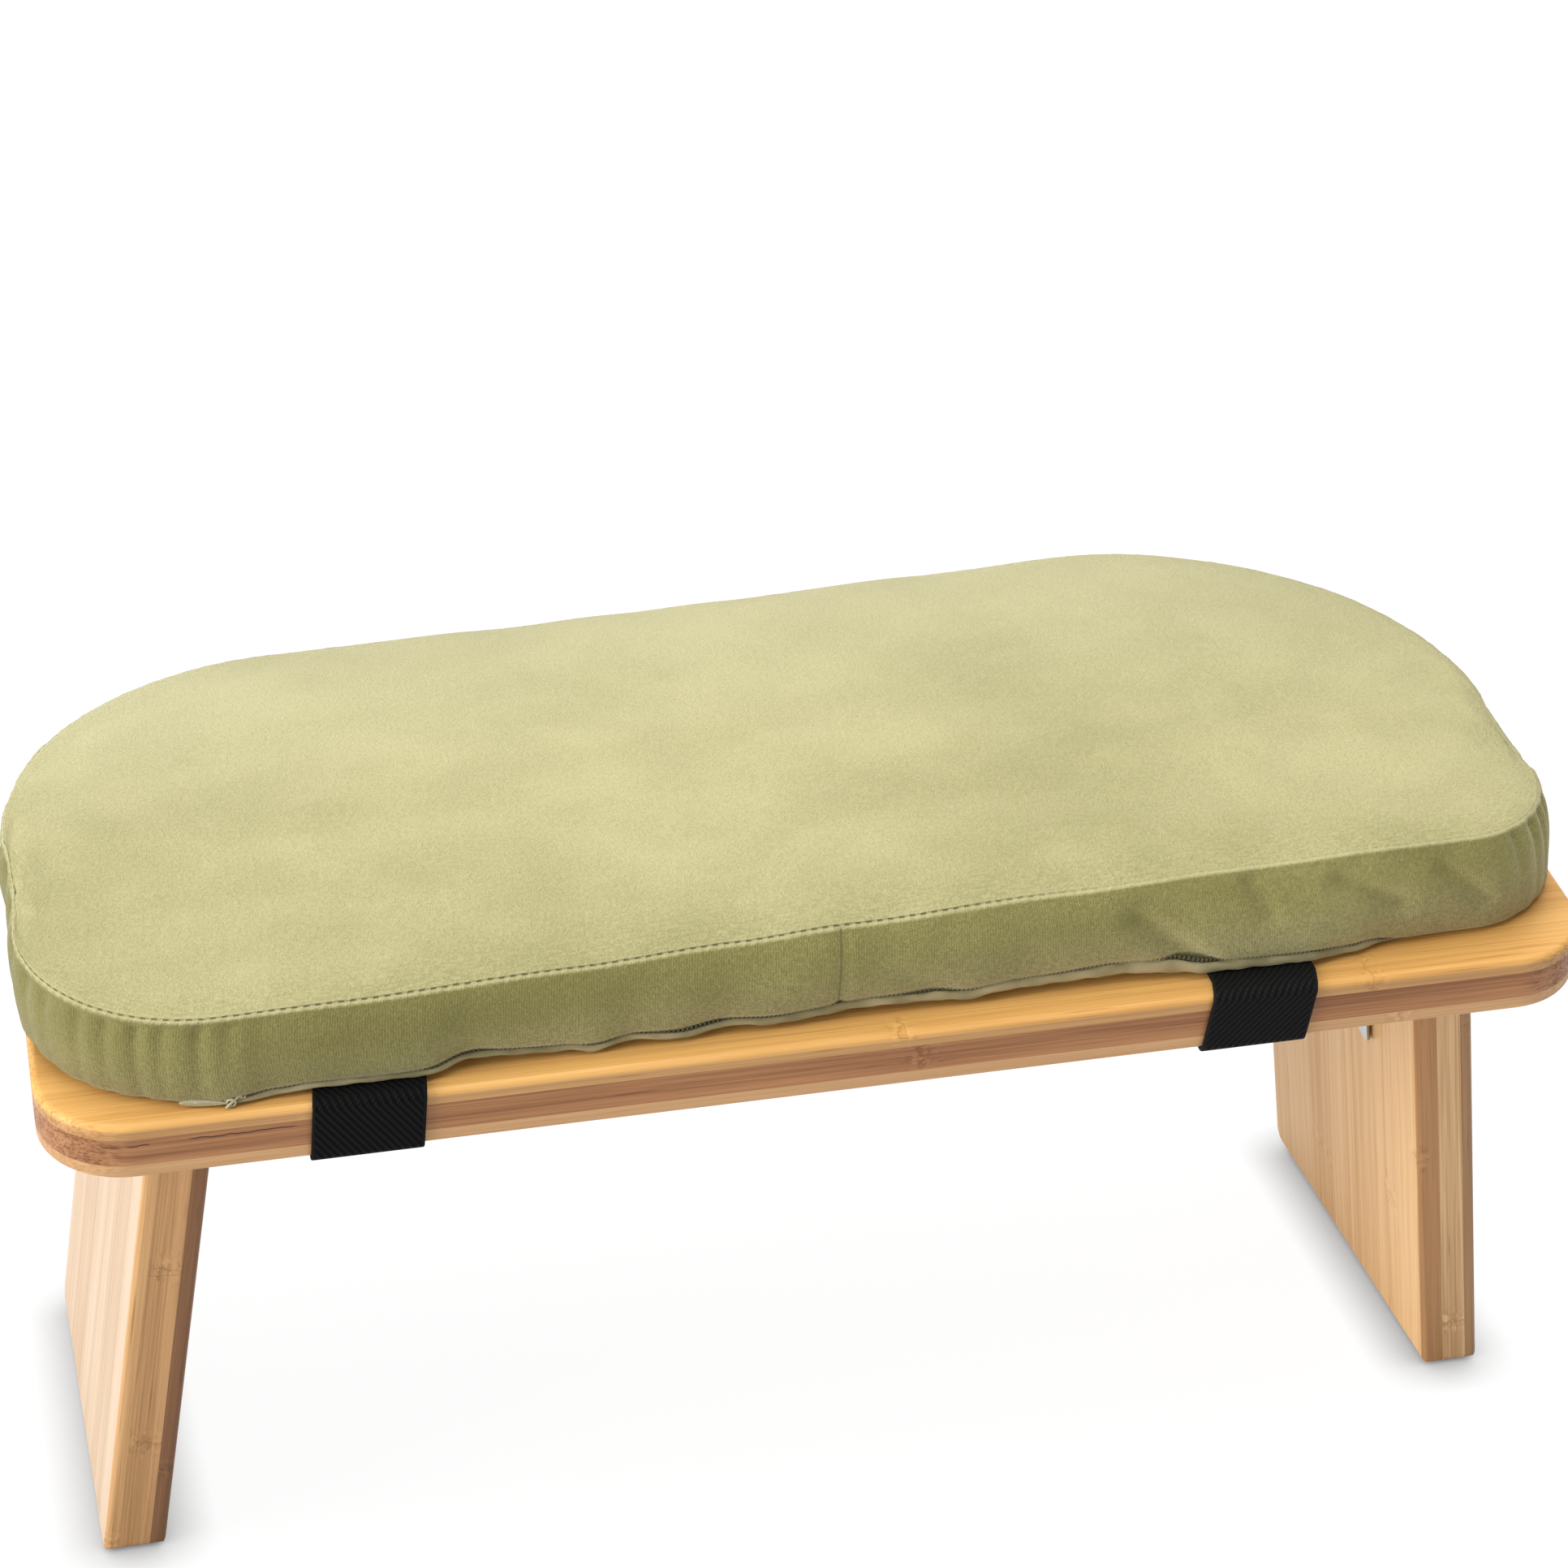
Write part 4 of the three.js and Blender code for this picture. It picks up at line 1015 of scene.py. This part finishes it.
def woven_map(piece, places):
    """UV map in metres of a strip laid flat, from the place of each of its points"""
    layer = piece.data.uv_layers.new(name="weave")
    for loop in piece.data.loops:
        layer.data[loop.index].uv = places[loop.vertex_index]


tape = bmesh.new()
bmesh.ops.create_grid(tape, x_segments=240, y_segments=10, size=1)
tape_bend = math.radians(125)
tape_places = []
for vertex in tape.verts:
    along, around = vertex.co.x, vertex.co.y
    x = lerp(zip_from, zip_to, (along + 1) / 2)
    angle = around * tape_bend
    fade = min(1, (1 - abs(along)) * 14 + 0.15)
    unevenness = noise.noise(Vector((x * 0.3, angle, 0)))
    thick = fade * (1 + 0.10 * math.sin(x * 0.62 + 2.2 * angle) + 0.14 * unevenness)
    out, up = 1.15 * thick * math.cos(angle) - 0.9, 0.42 + 0.38 * thick * math.sin(angle)
    vertex.co = zip_place(x, out, up) * mm
    tape_places.append((x * mm, around * 2.6 * mm))
tape_piece = piece_from(tape, "zip_tape_edge", cloth_tape_finish(), 60)
woven_map(tape_piece, tape_places)
tape_piece.data.transform(seat_frame)
modify(tape_piece, "cloth_thickness", "SOLIDIFY", thickness=0.35 * mm)
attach(tape_piece, "seat")
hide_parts("zip_tape")

# The coil: one turned nylon wire, pressed a little flat, with its ends closed. It is nearly black,
# partly the coil's own colour and partly painted shade for the gap under the band's lip.
coil = bmesh.new()
coil_pitch, coil_radius, wire_radius, steps_a_turn = 1.3, 0.62, 0.34, 8
coil_start = zip_from + 2
turns = int((zip_to - zip_from - 4) / coil_pitch)
wire = bmesh.ops.create_circle(coil, segments=5, radius=wire_radius)["verts"]
bmesh.ops.rotate(coil, verts=wire, cent=(0, 0, 0), matrix=Matrix.Rotation(math.pi / 2, 3, "X"))
bmesh.ops.translate(coil, verts=wire, vec=(0, 0, coil_radius))
bmesh.ops.spin(coil, geom=coil.verts[:] + coil.edges[:], cent=(0, 0, 0), axis=(1, 0, 0),
               dvec=(coil_pitch / steps_a_turn, 0, 0), angle=2 * math.pi * turns,
               steps=steps_a_turn * turns, use_duplicate=False)
for vertex in coil.verts:
    x, out, up = vertex.co
    vertex.co = zip_place(coil_start + x, out * 0.8 - 1.15, 0.98) * mm + Vector((0, 0, up * mm))
bmesh.ops.holes_fill(coil, edges=coil.edges, sides=0)
coil_finish = Finish("zip_coil_and_gap_shade", roughness=0.55, specular_ior_level=0.4)
coil_tone = coil_finish.noise(coil_finish.object_place(), 700)
# Nearly black: the coil's own colour with painted shade for the gap under the band's lip
coil_finish.set(base_color=coil_finish.tint(coil_tone, (0.035, 0.03, 0.014), (0.12, 0.105, 0.05)))
coil_piece = piece_from(coil, "zip_coil", coil_finish, 60)
coil_piece.data.transform(seat_frame)
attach(coil_piece, "seat")

# The slider's shoe runs on the coil, with a slanted bail on its front. The pull is a slender
# enamelled leaf that hangs by its eye on the bail.
enamel = Finish("olive_enamel", specular_ior_level=0.5, coat_weight=0.3, coat_roughness=0.2)
enamel_place = enamel.object_place()
enamel_worn = enamel.patches(enamel_place, 900, 3, 0.6, 0.52, 0.7)
enamel_tone = enamel.tint(enamel.noise(enamel_place, 300), (0.30, 0.27, 0.15), (0.46, 0.42, 0.26))
enamel.set(base_color=enamel.tint(enamel_worn * 0.4, enamel_tone, (0.62, 0.60, 0.48)))
enamel.set(roughness=0.34 + 0.2 * enamel_worn)
enamel.bump(enamel.noise(enamel_place, 1600), 0.03 * mm)
bail_low, bail_high = Vector((-178.2, 2.7, 18.7)) * mm, Vector((-172.9, 4.6, 22.3)) * mm
shoe_place = Vector((-175.4, 5.2, 20.3)) * mm
shoe = bmesh.new()
bmesh.ops.create_cube(shoe, size=1)
bmesh.ops.scale(shoe, vec=(6.2 * mm, 2.4 * mm, 2.9 * mm), verts=shoe.verts)
nose = [vertex for vertex in shoe.verts if vertex.co.x > 0]
bmesh.ops.scale(shoe, vec=(1, 0.8, 0.62), verts=nose)
round_over(shoe, shoe.edges[:], 0.45 * mm, 3)
bmesh.ops.translate(shoe, vec=shoe_place, verts=shoe.verts)
bail = bmesh.ops.create_cone(shoe, cap_ends=True, segments=12, radius1=0.42 * mm, radius2=0.42 * mm,
                             depth=(bail_high - bail_low).length)["verts"]
bail_ends = [edge for edge in shoe.edges if all(end in bail for end in edge.verts)
             and abs(edge.verts[0].co.z - edge.verts[1].co.z) < 1e-6]
round_over(shoe, bail_ends, 0.15 * mm, 2)
bail = [vertex for vertex in shoe.verts if vertex.co.length < 6 * mm]
bail_turn = (bail_high - bail_low).to_track_quat("Z", "Y").to_matrix()
bmesh.ops.rotate(shoe, cent=(0, 0, 0), matrix=bail_turn, verts=bail)
bmesh.ops.translate(shoe, vec=(bail_low + bail_high) / 2, verts=bail)
bmesh.ops.transform(shoe, matrix=seat_frame, verts=shoe.verts)
slider_piece = piece_from(shoe, "zip_slider_shoe", enamel, 50)
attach(slider_piece, "zip_slider")
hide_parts("zip_slider")

leaf = bmesh.new()
leaf_half, leaf_thick = 6.7, 0.8 * mm
leaf_place = Vector((-176.6, 3.6, 19.7)) * mm
outline = bmesh.ops.create_circle(leaf, cap_ends=True, segments=32, radius=1)["verts"]
for vertex in outline:
    x, y, _ = vertex.co
    vertex.co = Vector((x * leaf_half, 0, y * (1.0 - 0.28 * x))) * mm
raised = bmesh.ops.extrude_face_region(leaf, geom=leaf.faces[:])["geom"]
bmesh.ops.translate(leaf, vec=(0, leaf_thick, 0), verts=verts_of(raised))
rims = [edge for edge in leaf.edges if abs(edge.verts[0].co.y - edge.verts[1].co.y) < 1e-6]
round_over(leaf, rims, 0.22 * mm, 3)
bmesh.ops.translate(leaf, vec=(-7.6 * mm, -leaf_thick / 2, 0), verts=leaf.verts)
eye = bmesh.ops.create_circle(leaf, segments=8, radius=0.4 * mm)["verts"]
bmesh.ops.translate(leaf, vec=(1.15 * mm, 0, 0), verts=eye)
eye_rim = [edge for edge in leaf.edges if all(end in eye for end in edge.verts)]
bmesh.ops.spin(leaf, geom=eye + eye_rim, cent=(0, 0, 0), axis=(0, 1, 0), dvec=(0, 0, 0),
               angle=2 * math.pi, steps=20, use_merge=True, use_duplicate=False)
lie = Matrix.Translation(leaf_place) @ Matrix.Rotation(math.radians(-10), 4, "Z")
bmesh.ops.transform(leaf, matrix=seat_frame @ lie, verts=leaf.verts)
pull_piece = piece_from(leaf, "zip_pull_leaf", enamel, 50)
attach(pull_piece, "zip_pull")
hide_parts("zip_pull")


# Straps: two elastic bands, 32 mm wide and 1.3 mm thick, twill woven, each sewn to the front
# and back edges of the base panel and stretched round the board.
strap_wide, strap_thick, strap_air, strap_bend = 32, 1.3, 0.3, 1.5
strap_tail, strap_back = 2.5, 186.5  # how far its front end goes under the cushion, its back end
rib_pitch, rib_lean, bead_pitch = 1.7 * mm, math.radians(52), 0.85 * mm
straps = {  # side: place along the seat, skew of its front, rise of its twill, painted brightness
    # Both straps are the same webbing; the left one is painted darker, as painted shade
    "left": (-139.4, 1.2, -1, 0.7),
    "right": (122.0, 2.2, 1, 1),
}


def strap_finish(name, rise, painted_brightness):
    """Twill whose ribs climb to the right where rise is 1 and to the left where it is -1"""
    finish = Finish(f"black_elastic_{name}", specular_ior_level=0.03 + 0.09 * painted_brightness)
    across, along, _ = finish.split(finish.uv("weave"))
    over_ribs = across * (rise * math.sin(rib_lean)) + along * math.cos(rib_lean)
    down_ribs = across * (rise * math.cos(rib_lean)) - along * math.sin(rib_lean)
    rib = finish.wave(over_ribs, rib_pitch)
    row = (over_ribs / rib_pitch + 0.25).maths("FLOOR")
    bead = finish.wave(down_ribs / bead_pitch + row * 0.5, 1)
    edge = finish.step(abs(across), 14.9 * mm, 15.3 * mm)
    fuzz = finish.noise(finish.object_place(), 1500)
    weave = (rib * 0.5 + 0.5) * (0.7 + 0.3 * bead) * (1 - edge) + edge * 0.6
    tone = finish.step(weave + (fuzz - 0.5) * 0.4, 0, 1)
    # The webbing's colour is scaled by its painted brightness: painted shade on the left strap
    shade = finish.tint(tone, [0.0013 * painted_brightness] * 3, [0.009 * painted_brightness] * 3)
    finish.set(base_color=shade, roughness=0.85 - 0.25 * weave)
    finish.bump(weave + 0.15 * fuzz, 0.42 * mm)
    return finish


def strap_path(front_tail, back_tail, bend):
    """Points round the board in mm, from under the cushion's front edge to under its back edge"""
    depth, high = board_size.y / mm + strap_air, board_height + strap_air
    points = [(front_tail, high)]
    corners = ((-strap_air, high, 90), (-strap_air, -strap_air, 180), (depth, -strap_air, 270),
               (depth, high, 0))
    for y, z, start in corners:
        turn_y = y + (bend if y < 0 else -bend)
        turn_z = z - (bend if z > 1 else -bend)
        for step in range(7):
            angle = math.radians(start + 15 * step)
            points.append((turn_y + bend * math.cos(angle), turn_z + bend * math.sin(angle)))
    points.append((back_tail, high))
    spaced = []
    for (y0, z0), (y1, z1) in zip(points, points[1:]):
        count = max(1, int(math.hypot(y1 - y0, z1 - z0) / 4))
        shares = [step / count for step in range(count)]
        spaced += [(lerp(y0, y1, share), lerp(z0, z1, share)) for share in shares]
    return spaced + [points[-1]]


for side, (place, skew, rise, painted_brightness) in straps.items():
    path = strap_path(foot_front(place) + strap_tail, strap_back, strap_bend)
    lengths = [0]
    for before, after in zip(path, path[1:]):
        lengths.append(lengths[-1] + math.dist(before, after))
    strap = bmesh.new()
    bmesh.ops.create_grid(strap, x_segments=16, y_segments=len(path) - 1, size=1)
    strap_places = []
    for vertex in strap.verts:
        across, step = vertex.co.x, round((vertex.co.y + 1) / 2 * (len(path) - 1))
        y, z = path[step]
        strap_places.append((across * strap_wide / 2 * mm, lengths[step] * mm))
        # The front leans by the skew, less and less towards the back, and more on the board's top
        shift = skew * (z / board_height - 0.5) * max(0, 1 - max(0, y) / 70)
        shift += 0.8 * skew * min(1, max(0, y) / 5) * (z > board_height)
        vertex.co = Vector((place + shift + across * strap_wide / 2, y, z)) * mm
    strap_piece = piece_from(strap, f"{side}_elastic_strap", strap_finish(side, rise, painted_brightness), 60)
    woven_map(strap_piece, strap_places)
    strap_piece.data.transform(seat_frame)
    modify(strap_piece, "webbing_thickness", "SOLIDIFY", thickness=strap_thick * mm, offset=1)
    modify(strap_piece, "soft_edges", "BEVEL", width=0.5 * mm, segments=3, limit_method="ANGLE",
           angle_limit=math.radians(60))
    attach(strap_piece, "seat")
    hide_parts(f"{side}_strap")
